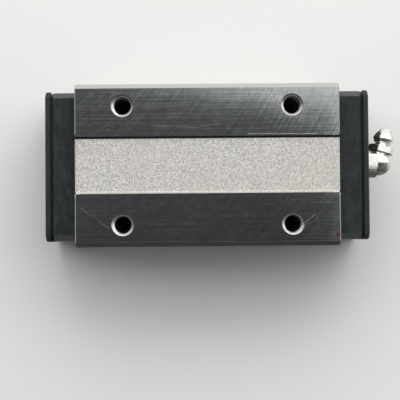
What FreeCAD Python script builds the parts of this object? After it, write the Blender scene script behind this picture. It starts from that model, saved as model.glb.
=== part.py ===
"""Linear bearing block, size 25, long, for a profile rail. Millimetres, +Z up.

X is the direction of travel, with the grease nipple at the +X end. The origin is the centre of the
hole pattern on the mounting face, so the whole block lies below Z = 0. "Left" is the +Y side.
"""
import FreeCAD, Part
import math
import os

Vector = FreeCAD.Vector
ORIGIN = Vector(0, 0, 0)
X_AXIS = Vector(1, 0, 0)
Y_AXIS = Vector(0, 1, 0)
Z_AXIS = Vector(0, 0, 1)

# Steel body
BODY_LENGTH = 78.0
BODY_WIDTH = 48.0
BODY_HEIGHT = 34.5
TOP_EDGE_CHAMFER = 1.4
BOTTOM_EDGE_CHAMFER = 1.2
END_EDGE_CHAMFER = 0.3
CENTRE_RECESS_WIDTH = 16.9
CENTRE_RECESS_DEPTH = 0.7
DATUM_FACE_DEPTH = 13.0
FLANK_RELIEF = 0.5

# Mounting holes, M6
BOLT_SPACING_X = 50.0
HOLE_SIDE_DISTANCE = 6.5
MOUNTING_HOLE_RADIUS = 2.5
MOUNTING_HOLE_CHAMFER = 0.8
MOUNTING_HOLE_FLOOR = 3.13
DRILL_TIP_ANGLE = math.radians(118)

# Rail that the block runs on, with heights counted up from the foot of the block
SKIRT_WIDTH = 12.5
RAIL_TOP_RISE = 16.5
RAIL_HEAD_INSET = 2.5
RAIL_WAIST_INSET = 1.9
RAIL_GROOVE_RADIUS = 2.48
RAIL_SHOULDER_ANGLE = math.radians(200)
RAIL_FOOT_RISE = 2.4

# Balls and their tracks
BALL_RADIUS = 2.381
ROW_OUTSET = 0.9
UPPER_ROW_RISE = 13.9
LOWER_ROW_RISE = 6.9
RACEWAY_RADIUS = 2.476
RACEWAY_CEILING_ANGLE = math.radians(124)
RACEWAY_MIDDLE_ANGLE = math.radians(40)
RACEWAY_FOOT_ANGLE = math.radians(92)
RETURN_SPACING = 7.65
UPPER_TURN_ANGLE = math.radians(35)
LOWER_TURN_ANGLE = math.radians(-17.5)
RETURN_CLEARANCE = 0.2
TURN_CLEARANCE = 0.15
BALL_GAP = 0.02
BALL_FACETS_ROUND = 8
BALL_RINGS = 3
TURN_SIDES = 8

# Ball retainers
RETAINER_CLEARANCE = 0.12
RETAINER_KEY_LENGTH = 1.0
RETAINER_KEY_CLEARANCE = 0.1
TOP_RETAINER_THICKNESS = 1.15
TOP_RETAINER_RAIL_GAP = 0.5
TOP_RETAINER_SIDE_GAP = 0.4
TOP_RETAINER_LIP_ANGLE = math.radians(150)
SIDE_RETAINER_RAIL_GAP = 0.45
SIDE_RIB_THICKNESS = 1.1
SIDE_RIB_DEPTH = 1.0
LOWER_RETAINER_LIP_ANGLE = math.radians(210)
LOWER_RETAINER_RAIL_GAP = 0.4
LOWER_RIB_THICKNESS = 0.9
LOWER_RIB_DEPTH = 0.9
RETAINER_WALL_CLEARANCE = 0.1

# Bottom seals
BOTTOM_SEAL_THICKNESS = 1.0
BOTTOM_SEAL_REACH = 4.3
BOTTOM_SEAL_SLOT_DEPTH = 1.5
BOTTOM_SEAL_RAIL_GAP = 0.1
BOTTOM_SEAL_LIP_TAPER = 0.6

# End caps and end seals
CAP_SIDE_INSET = 1.9
CAP_THICKNESS = 7.0
CAP_TOP_SHARE = 0.25
CAP_BOTTOM_RISE = 0.3
CAP_TOP_CHAMFER = 1.6
CAP_BOTTOM_CHAMFER = 1.0
CAP_RAIL_GAP = 0.5
CAP_EDGE_CHAMFER = 0.25
PLATE_THICKNESS = 0.6
PLATE_INSET = 1.0
PLATE_RAIL_GAP = 1.3
SEAL_THICKNESS = 1.6
SEAL_OVERSIZE = 0.25
SEAL_EDGE_CHAMFER = 0.45
SEAL_RAIL_GAP = 0.05
SEAL_LIP_WIDTH = 1.3
SEAL_LIP_THICKNESS = 0.7

# Return guides
GUIDE_CLEARANCE = 0.06
GUIDE_BRIDGE_THICKNESS = 0.8

# Cap screws, M3
SCREW_RADIUS = 1.45
SCREW_HOLE_RADIUS = 1.6
SCREW_THREAD_HOLE_RADIUS = 1.5
SCREW_THREAD_LENGTH = 6.5
SCREW_HOLE_EXTRA_DEPTH = 1.5
SCREW_HEAD_RADIUS = 2.75
SCREW_HEAD_HEIGHT = 1.4
SCREW_HEAD_CLEARANCE = 0.3
SCREW_SOCKET_WIDTH = 2.0
SCREW_SOCKET_DEPTH = 0.9
UPPER_SCREW_OUTSET = 0.6
UPPER_SCREW_DEPTH = 9.3
LOWER_SCREW_INSET = 5.2
LOWER_SCREW_RISE = 11.3

# Lubrication ports
PORT_Y = 0.9
PORT_RADIUS = 3.0
PORT_LENGTH = 5.0
PORT_THREAD_CLEARANCE = 0.05
PORT_MOUTH_CLEARANCE = 0.3
PORT_FEED_RADIUS = 1.25
LUBE_GROOVE_WIDTH = 1.5
LUBE_GROOVE_DEPTH = 1.0
LUBE_GROOVE_OUTSET = 2.2
PLUG_LENGTH = 5.0
PLUG_SOCKET_WIDTH = 3.0
PLUG_SOCKET_DEPTH = 2.6

# Grease nipple
HEXAGON_CHAMFER_ANGLE = math.radians(30)
NIPPLE_BASE_WIDTH = 8.0
NIPPLE_BASE_HEIGHT = 3.15
NIPPLE_SHANK_LENGTH = 6.4
NIPPLE_BORE_RADIUS = 0.7
ELBOW_RADIUS = 3.95
ELBOW_STRAIGHT = 0.55
ELBOW_BRANCH_RADIUS = 3.4
HEAD_LEAN = math.radians(15)
HEAD_ROLL = math.radians(8)
HEAD_SEAT_DISTANCE = 3.1
HEAD_HEX_WIDTH = 7.0
HEAD_HEX_HEIGHT = 2.0
HEAD_NECK_RADIUS = 2.3
HEAD_NECK_LENGTH = 1.0
HEAD_RIM_RADIUS = 3.25
HEAD_RIM_LENGTH = 1.2
HEAD_RIM_UNDERCUT = 0.4
HEAD_DOME_RADIUS = 2.8
HEAD_DOME_LENGTH = 1.3
HEAD_TIP_RADIUS = 1.6
HEAD_TIP_LENGTH = 1.8
HEAD_SPIGOT_RADIUS = 1.9
HEAD_SPIGOT_LENGTH = 1.2
HEAD_FIT_CLEARANCE = 0.02
CHECK_BALL_RADIUS = 0.9
CHECK_BALL_CLEARANCE = 0.1
CHECK_SEAT_RADIUS = 0.65
CHECK_SEAT_LAND = 0.3
SPRING_WIRE_WIDTH = 0.2
SPRING_COIL_RADIUS = 0.8
SPRING_TURNS = 4
SPRING_END_GAP = 0.05

# Worked out from the sizes above
HALF_LENGTH = BODY_LENGTH / 2
HALF_WIDTH = BODY_WIDTH / 2
HALF_RAIL = HALF_WIDTH - SKIRT_WIDTH
HALF_RAIL_HEAD = HALF_RAIL - RAIL_HEAD_INSET
HALF_RAIL_WAIST = HALF_RAIL - RAIL_WAIST_INSET
RAIL_TOP_DEPTH = BODY_HEIGHT - RAIL_TOP_RISE
ROW_Y = HALF_RAIL + ROW_OUTSET
HALF_CAP_WIDTH = HALF_WIDTH - CAP_SIDE_INSET
CAP_TOP_DEPTH = CAP_TOP_SHARE * RAIL_TOP_DEPTH
PORT_DEPTH = (CAP_TOP_DEPTH + PLATE_INSET + RAIL_TOP_DEPTH - PLATE_RAIL_GAP) / 2
LUBE_GROOVE_Z = -(PORT_DEPTH + RAIL_TOP_DEPTH - CAP_RAIL_GAP) / 2
LUBE_GROOVE_REACH = ROW_Y + LUBE_GROOVE_OUTSET
UPPER_SCREW_Y = ROW_Y + UPPER_SCREW_OUTSET
LOWER_SCREW_Y = HALF_WIDTH - LOWER_SCREW_INSET
LOWER_SCREW_Z = -BODY_HEIGHT + LOWER_SCREW_RISE
BOTTOM_SEAL_OUTER_Y = HALF_RAIL + BOTTOM_SEAL_REACH
CAP_OUTER_X = HALF_LENGTH + CAP_THICKNESS
PLATE_OUTER_X = CAP_OUTER_X + PLATE_THICKNESS
SEAL_OUTER_X = PLATE_OUTER_X + SEAL_THICKNESS
TURN_RADIUS = RETURN_SPACING / 2
RETURN_RADIUS = BALL_RADIUS + RETURN_CLEARANCE
TURN_TUBE_RADIUS = BALL_RADIUS + TURN_CLEARANCE
POCKET_RADIUS = BALL_RADIUS + RETAINER_CLEARANCE
CEILING_Z = -RAIL_TOP_DEPTH + TOP_RETAINER_RAIL_GAP + TOP_RETAINER_THICKNESS
UPPER_ROW = Vector(0, ROW_Y, -BODY_HEIGHT + UPPER_ROW_RISE)
LOWER_ROW = Vector(0, ROW_Y, -BODY_HEIGHT + LOWER_ROW_RISE)
MIDDLE_Z = (UPPER_ROW.z + LOWER_ROW.z) / 2
OVERSHOOT = 1.0
SAME_POINT = 1e-6
FULL_TURN = 360
HALF_TURN = 180
HEXAGON_SIDES = 6
MITRED = 2


def at_angle(centre, radius, angle):
    """Point on a circle in a cross-section, with the angle counted from outwards (+Y) to up (+Z)."""
    return centre + Vector(0, radius * math.cos(angle), radius * math.sin(angle))


def in_section(y, z):
    """Point of a cross-section."""
    return Vector(0, y, z)


def line(start, end):
    return Part.LineSegment(start, end).toShape()


def arc(centre, radius, start_angle, end_angle):
    """Arc in a cross-section, from one angle to the other the short way."""
    middle = (start_angle + end_angle) / 2
    points = [at_angle(centre, radius, angle) for angle in (start_angle, middle, end_angle)]
    return Part.Arc(*points).toShape()


def ends(part, last):
    """Start and end of a point or an edge, with an edge turned to start where the outline has got to."""
    if isinstance(part, Vector):
        return part, part
    start = part.firstVertex(True).Point
    end = part.lastVertex(True).Point
    if last is not None and last.distanceToPoint(end) < last.distanceToPoint(start):
        return end, start
    return start, end


def chain(*parts):
    """Closed face from points and arcs in order, with straight edges between them."""
    edges = []
    first, last = ends(parts[0], None)
    for index, part in enumerate(parts):
        start, end = ends(part, None if index == 0 else last)
        if index > 0 and last.distanceToPoint(start) > SAME_POINT:
            edges.append(line(last, start))
        if not isinstance(part, Vector):
            edges.append(part)
        last = end
    edges.append(line(last, first))
    return Part.Face(Part.Wire(edges))


def symmetric(*left):
    """Closed face from its left half, in order from top to bottom, and the mirror image of that half."""
    right = []
    for part in reversed(left):
        if isinstance(part, Vector):
            right.append(in_section(-part.y, part.z))
        else:
            right.append(other_side(part))
    return chain(*left, *right)


def along_x(face, start, end):
    """Solid that carries a cross-section from one X to another."""
    moved = face.translated(Vector(start, 0, 0))
    return moved.extrude(Vector(end - start, 0, 0))


def other_side(shape):
    """Copy on the right (-Y) side."""
    return shape.mirror(ORIGIN, Y_AXIS)


def other_end(shape):
    """Copy at the rear (-X) end."""
    return shape.mirror(ORIGIN, X_AXIS)


def both_sides(shape):
    return [shape, other_side(shape)]


def union(shapes):
    """One clean solid from solids that meet."""
    whole = shapes[0].fuse(shapes[1:])
    return whole.removeSplitter()


def hexagon_prism(width, height, base, direction, flat_towards):
    """Hexagonal prism, width over its flats, with one flat that faces flat_towards."""
    corner_radius = width / math.sqrt(3)
    side = direction.cross(flat_towards).normalize()
    corners = []
    for step in range(HEXAGON_SIDES + 1):
        angle = 2 * math.pi * step / HEXAGON_SIDES
        corners.append(base + flat_towards * (corner_radius * math.sin(angle))
                       + side * (corner_radius * math.cos(angle)))
    return Part.Face(Part.makePolygon(corners)).extrude(direction * height)


def chamfered_disc(radius, height, base, direction):
    """Round blank whose outer chamfer rounds the corners of a hexagon within it."""
    flat_radius = radius * math.cos(math.pi / HEXAGON_SIDES)
    rim_drop = (radius - flat_radius) * math.tan(HEXAGON_CHAMFER_ANGLE)
    profile = [
        ORIGIN,
        Vector(radius, 0, 0),
        Vector(radius, 0, height - rim_drop),
        Vector(flat_radius, 0, height),
        Vector(0, 0, height),
    ]
    return placed(turned(profile), base, direction)


def turned(profile):
    """Solid turned about Z from points (radius, 0, height)."""
    face = Part.Face(Part.makePolygon(profile + [profile[0]]))
    return face.revolve(ORIGIN, Z_AXIS, FULL_TURN)


def placed(shape, base, direction):
    """Copy of a shape made on Z, moved to base and turned to point along direction."""
    copy = shape.copy()
    copy.Placement = FreeCAD.Placement(base, FreeCAD.Rotation(Z_AXIS, direction))
    return copy


def rail_section(gap):
    """Section of the rail, grown by a gap all round and carried on below the block."""
    groove_end = math.pi + math.acos(ROW_OUTSET / RAIL_GROOVE_RADIUS)
    shoulder = at_angle(UPPER_ROW, RAIL_GROOVE_RADIUS, RAIL_SHOULDER_ANGLE)
    lower_angles = (2 * math.pi - groove_end, 2 * math.pi - RAIL_SHOULDER_ANGLE)
    foot = -BODY_HEIGHT + RAIL_FOOT_RISE
    below = -BODY_HEIGHT - 2 * OVERSHOOT
    section = symmetric(
        in_section(HALF_RAIL_HEAD, -RAIL_TOP_DEPTH),
        in_section(HALF_RAIL_HEAD, shoulder.z + shoulder.y - HALF_RAIL_HEAD),
        arc(UPPER_ROW, RAIL_GROOVE_RADIUS, RAIL_SHOULDER_ANGLE, groove_end),
        arc(LOWER_ROW, RAIL_GROOVE_RADIUS, *lower_angles),
        in_section(HALF_RAIL_WAIST, LOWER_ROW.z),
        in_section(HALF_RAIL_WAIST, foot + RAIL_WAIST_INSET),
        in_section(HALF_RAIL, foot),
        in_section(HALF_RAIL, below),
    )
    return section.makeOffset2D(gap, join=MITRED)


def body_outline():
    """Outer section of the steel body, with the recess between the two ground lands."""
    half_recess = CENTRE_RECESS_WIDTH / 2
    flank = HALF_WIDTH - FLANK_RELIEF
    return symmetric(
        in_section(half_recess - CENTRE_RECESS_DEPTH, -CENTRE_RECESS_DEPTH),
        in_section(half_recess, 0),
        in_section(HALF_WIDTH - TOP_EDGE_CHAMFER, 0),
        in_section(HALF_WIDTH, -TOP_EDGE_CHAMFER),
        in_section(HALF_WIDTH, -DATUM_FACE_DEPTH),
        in_section(flank, -DATUM_FACE_DEPTH - FLANK_RELIEF),
        in_section(flank, -BODY_HEIGHT + BOTTOM_EDGE_CHAMFER),
        in_section(flank - BOTTOM_EDGE_CHAMFER, -BODY_HEIGHT),
    )


def retainer_slots():
    """Walls inside the body where the side and lower retainers seat, as (y, z) limits."""
    middle_wall = at_angle(UPPER_ROW, RACEWAY_RADIUS, -RACEWAY_MIDDLE_ANGLE).y
    foot_wall = at_angle(LOWER_ROW, RACEWAY_RADIUS, -RACEWAY_FOOT_ANGLE).y
    slot_top = at_angle(LOWER_ROW, RACEWAY_RADIUS, -RACEWAY_FOOT_ANGLE).z - LOWER_RIB_THICKNESS
    return middle_wall, foot_wall, slot_top


def cavity_section():
    """Opening of the body round the rail, with the four raceways and the retainers' slots."""
    middle_wall, foot_wall, slot_top = retainer_slots()
    rib_half = SIDE_RIB_THICKNESS / 2 + RETAINER_WALL_CLEARANCE
    rib_end = middle_wall + SIDE_RIB_DEPTH + RETAINER_WALL_CLEARANCE
    slot_end = foot_wall + LOWER_RIB_DEPTH + RETAINER_WALL_CLEARANCE
    slot_bottom = slot_top - LOWER_RIB_THICKNESS - RETAINER_WALL_CLEARANCE
    ceiling_y = at_angle(UPPER_ROW, RACEWAY_RADIUS, RACEWAY_CEILING_ANGLE).y
    below = -BODY_HEIGHT - OVERSHOOT
    return symmetric(
        in_section(ceiling_y, CEILING_Z),
        arc(UPPER_ROW, RACEWAY_RADIUS, RACEWAY_CEILING_ANGLE, -RACEWAY_MIDDLE_ANGLE),
        in_section(middle_wall, MIDDLE_Z + rib_half),
        in_section(rib_end, MIDDLE_Z + rib_half),
        in_section(rib_end, MIDDLE_Z - rib_half),
        in_section(middle_wall, MIDDLE_Z - rib_half),
        arc(LOWER_ROW, RACEWAY_RADIUS, RACEWAY_MIDDLE_ANGLE, -RACEWAY_FOOT_ANGLE),
        in_section(foot_wall, slot_top),
        in_section(slot_end, slot_top),
        in_section(slot_end, slot_bottom),
        in_section(foot_wall, slot_bottom),
        in_section(foot_wall, below),
    )


def turn_direction(angle):
    """Direction from a loaded row to its return bore, across the block."""
    return in_section(math.cos(angle), math.sin(angle))


def circuits():
    """Name, loaded row and direction to the return bore of each circuit on the left side."""
    return [
        ("upper", UPPER_ROW, turn_direction(UPPER_TURN_ANGLE)),
        ("lower", LOWER_ROW, turn_direction(LOWER_TURN_ANGLE)),
    ]


def mounting_hole(mouth):
    """Tapped hole from the mounting face: 45 degree countersink, and a drill tip over the return bore."""
    bore = UPPER_ROW + turn_direction(UPPER_TURN_ANGLE) * RETURN_SPACING
    tip_depth = -bore.z - RETURN_RADIUS - MOUNTING_HOLE_FLOOR
    wall_depth = tip_depth - MOUNTING_HOLE_RADIUS / math.tan(DRILL_TIP_ANGLE / 2)
    wide = MOUNTING_HOLE_RADIUS + MOUNTING_HOLE_CHAMFER
    profile = [
        Vector(0, 0, -OVERSHOOT),
        Vector(wide + OVERSHOOT, 0, -OVERSHOOT),
        Vector(MOUNTING_HOLE_RADIUS, 0, MOUNTING_HOLE_CHAMFER),
        Vector(MOUNTING_HOLE_RADIUS, 0, wall_depth),
        Vector(0, 0, tip_depth),
    ]
    return placed(turned(profile), mouth, -Z_AXIS)


def mounting_hole_mouths():
    """Centres of the four mounting holes on the mounting face."""
    x = BOLT_SPACING_X / 2
    y = HALF_WIDTH - HOLE_SIDE_DISTANCE
    return [Vector(x, y, 0), Vector(-x, y, 0), Vector(-x, -y, 0), Vector(x, -y, 0)]


def screw_places():
    """Places of the cap screws across the block."""
    places = []
    for side in (1, -1):
        places.append(in_section(side * UPPER_SCREW_Y, -UPPER_SCREW_DEPTH))
        places.append(in_section(side * LOWER_SCREW_Y, LOWER_SCREW_Z))
    return places


def bottom_seal_slot():
    """Step along the foot of the left skirt that takes the bottom seal."""
    _, foot_wall, _ = retainer_slots()
    top = -BODY_HEIGHT + BOTTOM_SEAL_SLOT_DEPTH
    outer = BOTTOM_SEAL_OUTER_Y + RETAINER_WALL_CLEARANCE
    inner = foot_wall - OVERSHOOT
    bottom = -BODY_HEIGHT - OVERSHOOT
    face = chain(in_section(inner, top), in_section(outer, top),
                 in_section(outer, bottom), in_section(inner, bottom))
    return along_x(face, -HALF_LENGTH - OVERSHOOT, HALF_LENGTH + OVERSHOOT)


def carriage_body():
    """Steel body: outer form, raceways, return bores, mounting holes and cap screw holes."""
    block = along_x(body_outline(), -HALF_LENGTH, HALF_LENGTH)
    end_edges = [edge for edge in block.Edges
                 if abs(abs(edge.CenterOfMass.x) - HALF_LENGTH) < SAME_POINT]
    block = block.makeChamfer(END_EDGE_CHAMFER, end_edges)
    through = (-HALF_LENGTH - OVERSHOOT, HALF_LENGTH + OVERSHOOT)
    cuts = [along_x(cavity_section(), *through)]
    cuts += both_sides(bottom_seal_slot())
    for _, row, direction in circuits():
        start = row + direction * RETURN_SPACING + Vector(through[0], 0, 0)
        bore = Part.makeCylinder(RETURN_RADIUS, through[1] - through[0], start, X_AXIS)
        cuts += both_sides(bore)
    cuts += [mounting_hole(mouth) for mouth in mounting_hole_mouths()]
    hole_depth = SCREW_THREAD_LENGTH + SCREW_HOLE_EXTRA_DEPTH
    for place in screw_places():
        mouth = place + Vector(HALF_LENGTH, 0, 0)
        hole = Part.makeCylinder(SCREW_THREAD_HOLE_RADIUS, hole_depth, mouth, -X_AXIS)
        cuts += [hole, other_end(hole)]
    return block.cut(cuts)


def faceted_ball(radius):
    """Ball with flat facets whose corners lie on its round surface."""
    rings = []
    for ring in range(BALL_RINGS + 1):
        polar = math.pi * ring / BALL_RINGS
        points = []
        for step in range(BALL_FACETS_ROUND):
            turn = 2 * math.pi * step / BALL_FACETS_ROUND
            points.append(Vector(radius * math.cos(polar),
                                 radius * math.sin(polar) * math.cos(turn),
                                 radius * math.sin(polar) * math.sin(turn)))
        rings.append(points)
    faces = []
    for ring in range(BALL_RINGS):
        for step in range(BALL_FACETS_ROUND):
            after = (step + 1) % BALL_FACETS_ROUND
            corners = [rings[ring][step]]
            if ring < BALL_RINGS - 1:
                corners.append(rings[ring + 1][step])
                corners.append(rings[ring + 1][after])
            else:
                corners.append(rings[ring + 1][step])
            if ring > 0:
                corners.append(rings[ring][after])
            corners.append(corners[0])
            faces.append(Part.Face(Part.makePolygon(corners)))
    return Part.Solid(Part.Shell(faces))


def circuit_point(row, direction, distance):
    """Centre of a ball at a distance along its endless track, which starts at the rear of the row."""
    half_turn = math.pi * TURN_RADIUS
    centre = row + direction * TURN_RADIUS
    if distance < BODY_LENGTH:
        return row + Vector(-HALF_LENGTH + distance, 0, 0)
    distance -= BODY_LENGTH
    if distance < half_turn:
        angle = distance / TURN_RADIUS
        across = direction * (-TURN_RADIUS * math.cos(angle))
        return centre + across + Vector(HALF_LENGTH + TURN_RADIUS * math.sin(angle), 0, 0)
    distance -= half_turn
    if distance < BODY_LENGTH:
        return row + direction * RETURN_SPACING + Vector(HALF_LENGTH - distance, 0, 0)
    angle = (distance - BODY_LENGTH) / TURN_RADIUS
    across = direction * (TURN_RADIUS * math.cos(angle))
    return centre + across + Vector(-HALF_LENGTH - TURN_RADIUS * math.sin(angle), 0, 0)


def ball_circuit(row, direction):
    """Every ball of one endless circuit, spaced evenly with the circuit's slack shared out."""
    track_length = 2 * BODY_LENGTH + 2 * math.pi * TURN_RADIUS
    count = int(track_length / (2 * BALL_RADIUS + BALL_GAP))
    ball = faceted_ball(BALL_RADIUS)
    balls = []
    for index in range(count):
        balls.append(ball.translated(circuit_point(row, direction, track_length * index / count)))
    return Part.makeCompound(balls)


def top_retainer_section(fit):
    """Section of the top retainer, grown by fit where it plugs into the end caps."""
    wall = at_angle(UPPER_ROW, RACEWAY_RADIUS, RACEWAY_CEILING_ANGLE).y - RETAINER_WALL_CLEARANCE
    wall_angle = math.pi - math.acos((ROW_Y - wall) / POCKET_RADIUS)
    inner = HALF_RAIL_HEAD + TOP_RETAINER_SIDE_GAP
    under = CEILING_Z - TOP_RETAINER_THICKNESS
    tip = at_angle(UPPER_ROW, POCKET_RADIUS, TOP_RETAINER_LIP_ANGLE)
    section = symmetric(
        in_section(wall, CEILING_Z),
        arc(UPPER_ROW, POCKET_RADIUS, wall_angle, TOP_RETAINER_LIP_ANGLE),
        in_section(inner, tip.z),
        in_section(inner, under),
    )
    return section.makeOffset2D(fit) if fit else section


def side_retainer_section(fit):
    """Section of a side retainer: it holds both rows of a side and keys into the body's middle slot."""
    middle_wall, _, _ = retainer_slots()
    inner = HALF_RAIL + SIDE_RETAINER_RAIL_GAP
    outer = middle_wall - RETAINER_WALL_CLEARANCE
    inner_angle = math.pi + math.acos((ROW_Y - inner) / POCKET_RADIUS)
    outer_angle = 2 * math.pi - math.acos((outer - ROW_Y) / POCKET_RADIUS)
    half_rib = SIDE_RIB_THICKNESS / 2
    rib_end = middle_wall + SIDE_RIB_DEPTH
    face = chain(
        arc(UPPER_ROW, POCKET_RADIUS, inner_angle, outer_angle),
        in_section(outer, MIDDLE_Z + half_rib),
        in_section(rib_end, MIDDLE_Z + half_rib),
        in_section(rib_end, MIDDLE_Z - half_rib),
        in_section(outer, MIDDLE_Z - half_rib),
        arc(LOWER_ROW, POCKET_RADIUS, 2 * math.pi - outer_angle, 2 * math.pi - inner_angle),
    )
    return face.makeOffset2D(fit) if fit else face


def lower_retainer_section(fit):
    """Section of a lower retainer: it holds the lower row from below and keys into the skirt."""
    _, foot_wall, slot_top = retainer_slots()
    outer = foot_wall - RETAINER_WALL_CLEARANCE
    inner = HALF_RAIL_WAIST + LOWER_RETAINER_RAIL_GAP
    outer_angle = math.pi + math.acos((ROW_Y - outer) / POCKET_RADIUS)
    tip = at_angle(LOWER_ROW, POCKET_RADIUS, LOWER_RETAINER_LIP_ANGLE)
    rib_top = slot_top - RETAINER_WALL_CLEARANCE
    rib_bottom = rib_top - LOWER_RIB_THICKNESS + RETAINER_WALL_CLEARANCE
    foot_inner = HALF_RAIL + LOWER_RETAINER_RAIL_GAP
    foot_rise = foot_inner - inner
    face = chain(
        arc(LOWER_ROW, POCKET_RADIUS, LOWER_RETAINER_LIP_ANGLE, outer_angle),
        in_section(outer, rib_top),
        in_section(foot_wall + LOWER_RIB_DEPTH, rib_top),
        in_section(foot_wall + LOWER_RIB_DEPTH, rib_bottom),
        in_section(foot_inner, rib_bottom),
        in_section(inner, rib_bottom + foot_rise),
        in_section(inner, tip.z),
    )
    return face.makeOffset2D(fit) if fit else face


def retainer(section):
    """A retainer reaches past the body at both ends, to key into the end caps."""
    reach = HALF_LENGTH + RETAINER_KEY_LENGTH
    return along_x(section(0), -reach, reach)


def bottom_seal():
    """Left bottom seal: a flat strip with a lip that thins towards the rail."""
    top = -BODY_HEIGHT + BOTTOM_SEAL_SLOT_DEPTH
    lip = HALF_RAIL + BOTTOM_SEAL_RAIL_GAP
    _, foot_wall, _ = retainer_slots()
    face = chain(
        in_section(lip, top - BOTTOM_SEAL_LIP_TAPER),
        in_section(foot_wall, top),
        in_section(BOTTOM_SEAL_OUTER_Y, top),
        in_section(BOTTOM_SEAL_OUTER_Y, top - BOTTOM_SEAL_THICKNESS),
        in_section(lip, top - BOTTOM_SEAL_THICKNESS),
    )
    return along_x(face, -HALF_LENGTH, HALF_LENGTH)


def cap_outline(grow):
    """Outer outline of the end cap, seal plate or end seal."""
    half = HALF_CAP_WIDTH + grow
    top = -CAP_TOP_DEPTH + grow
    bottom = -BODY_HEIGHT + CAP_BOTTOM_RISE - min(grow, 0)
    return symmetric(
        in_section(half - CAP_TOP_CHAMFER, top),
        in_section(half, top - CAP_TOP_CHAMFER),
        in_section(half, bottom + CAP_BOTTOM_CHAMFER),
        in_section(half - CAP_BOTTOM_CHAMFER, bottom),
    )


def edge_chamfered(shape, x, size):
    """Chamfer along the outline of one end face."""
    edges = [edge for edge in shape.Edges
             if abs(edge.BoundBox.XMin - x) < SAME_POINT and abs(edge.BoundBox.XMax - x) < SAME_POINT]
    return shape.makeChamfer(size, edges)


def turn_placement(row, direction):
    """Place of a turn at the front end: local Z is the axis that the balls turn about, local Y is +X."""
    normal = X_AXIS.cross(direction)
    centre = row + direction * TURN_RADIUS + Vector(HALF_LENGTH, 0, 0)
    return FreeCAD.Placement(centre, FreeCAD.Rotation(direction * -1, X_AXIS, normal, "ZXY"))


def placed_turn(profile, sweep, row, direction):
    """Solid swept about a turn's axis from points (radius, 0, height)."""
    face = Part.Face(Part.makePolygon(profile + [profile[0]]))
    solid = face.revolve(ORIGIN, Z_AXIS, sweep)
    solid.Placement = turn_placement(row, direction)
    return solid


def turn_space(row, direction):
    """Room in the front cap for one ball turn: an eight-sided tunnel bent round the return guide."""
    tunnel = []
    corner = TURN_TUBE_RADIUS / math.cos(math.pi / TURN_SIDES)
    for step in range(TURN_SIDES):
        angle = math.pi * (2 * step + 1) / TURN_SIDES
        tunnel.append(Vector(TURN_RADIUS + corner * math.cos(angle), 0, corner * math.sin(angle)))
    half_width = TURN_TUBE_RADIUS + GUIDE_CLEARANCE
    core_radius = TURN_RADIUS - tunnel_flat() / 2 + GUIDE_CLEARANCE
    core = [
        Vector(0, 0, -half_width),
        Vector(core_radius, 0, -half_width),
        Vector(core_radius, 0, half_width),
        Vector(0, 0, half_width),
    ]
    return [placed_turn(profile, FULL_TURN, row, direction) for profile in (tunnel, core)]


def tunnel_flat():
    """Width of one of the eight flats of a ball turn."""
    return 2 * TURN_TUBE_RADIUS * math.tan(math.pi / TURN_SIDES)


def bridge_limits():
    """Inner and outer Y of the plate that ties two return guides, clear of the rib and of the screw."""
    middle_wall, _, _ = retainer_slots()
    inner = middle_wall + SIDE_RIB_DEPTH + RETAINER_KEY_CLEARANCE + GUIDE_CLEARANCE
    outer = LOWER_SCREW_Y - SCREW_HOLE_RADIUS - RETAINER_KEY_CLEARANCE
    return inner, outer


def bridge_box(grow):
    """Plate that ties the two guides of a side together, flat on the body's end face."""
    upper = UPPER_ROW + turn_direction(UPPER_TURN_ANGLE) * TURN_RADIUS
    lower = LOWER_ROW + turn_direction(LOWER_TURN_ANGLE) * TURN_RADIUS
    inner, outer = bridge_limits()
    corner = Vector(HALF_LENGTH, inner - grow, lower.z)
    return Part.makeBox(GUIDE_BRIDGE_THICKNESS + grow, outer - inner + 2 * grow, upper.z - lower.z, corner)


def retainer_sockets():
    """Pockets that the ends of the retainers plug into, at the front end."""
    limits = (HALF_LENGTH - OVERSHOOT, HALF_LENGTH + RETAINER_KEY_LENGTH + RETAINER_KEY_CLEARANCE)
    sockets = [along_x(top_retainer_section(RETAINER_KEY_CLEARANCE), *limits)]
    for section in (side_retainer_section, lower_retainer_section):
        sockets += both_sides(along_x(section(RETAINER_KEY_CLEARANCE), *limits))
    return sockets


def return_guide():
    """Front left return guide: a half spool in each turn, tied by a thin bridge."""
    half_flat = tunnel_flat() / 2
    spool = [
        Vector(0, 0, -TURN_TUBE_RADIUS),
        Vector(TURN_RADIUS - half_flat, 0, -TURN_TUBE_RADIUS),
        Vector(TURN_RADIUS - TURN_TUBE_RADIUS, 0, -half_flat),
        Vector(TURN_RADIUS - TURN_TUBE_RADIUS, 0, half_flat),
        Vector(TURN_RADIUS - half_flat, 0, TURN_TUBE_RADIUS),
        Vector(0, 0, TURN_TUBE_RADIUS),
    ]
    pieces = [bridge_box(0)]
    for _, row, direction in circuits():
        pieces.append(placed_turn(spool, HALF_TURN, row, direction))
    return union(pieces).cut(retainer_sockets())


def lube_grooves():
    """Grooves on the inner face of the front cap, from the port to the ball turns of both sides."""
    half = LUBE_GROOVE_WIDTH / 2
    depth = LUBE_GROOVE_DEPTH + OVERSHOOT
    start_x = HALF_LENGTH - OVERSHOOT
    drop = Part.makeBox(depth, 2 * half, -PORT_DEPTH - LUBE_GROOVE_Z + half,
                        Vector(start_x, PORT_Y - half, LUBE_GROOVE_Z - half))
    across = Part.makeBox(depth, 2 * LUBE_GROOVE_REACH, 2 * half,
                          Vector(start_x, -LUBE_GROOVE_REACH, LUBE_GROOVE_Z - half))
    feed = Part.makeBox(depth, 2 * half, LUBE_GROOVE_Z - UPPER_ROW.z,
                        Vector(start_x, LUBE_GROOVE_REACH - 2 * half, UPPER_ROW.z))
    return [drop, across] + both_sides(feed)


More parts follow.
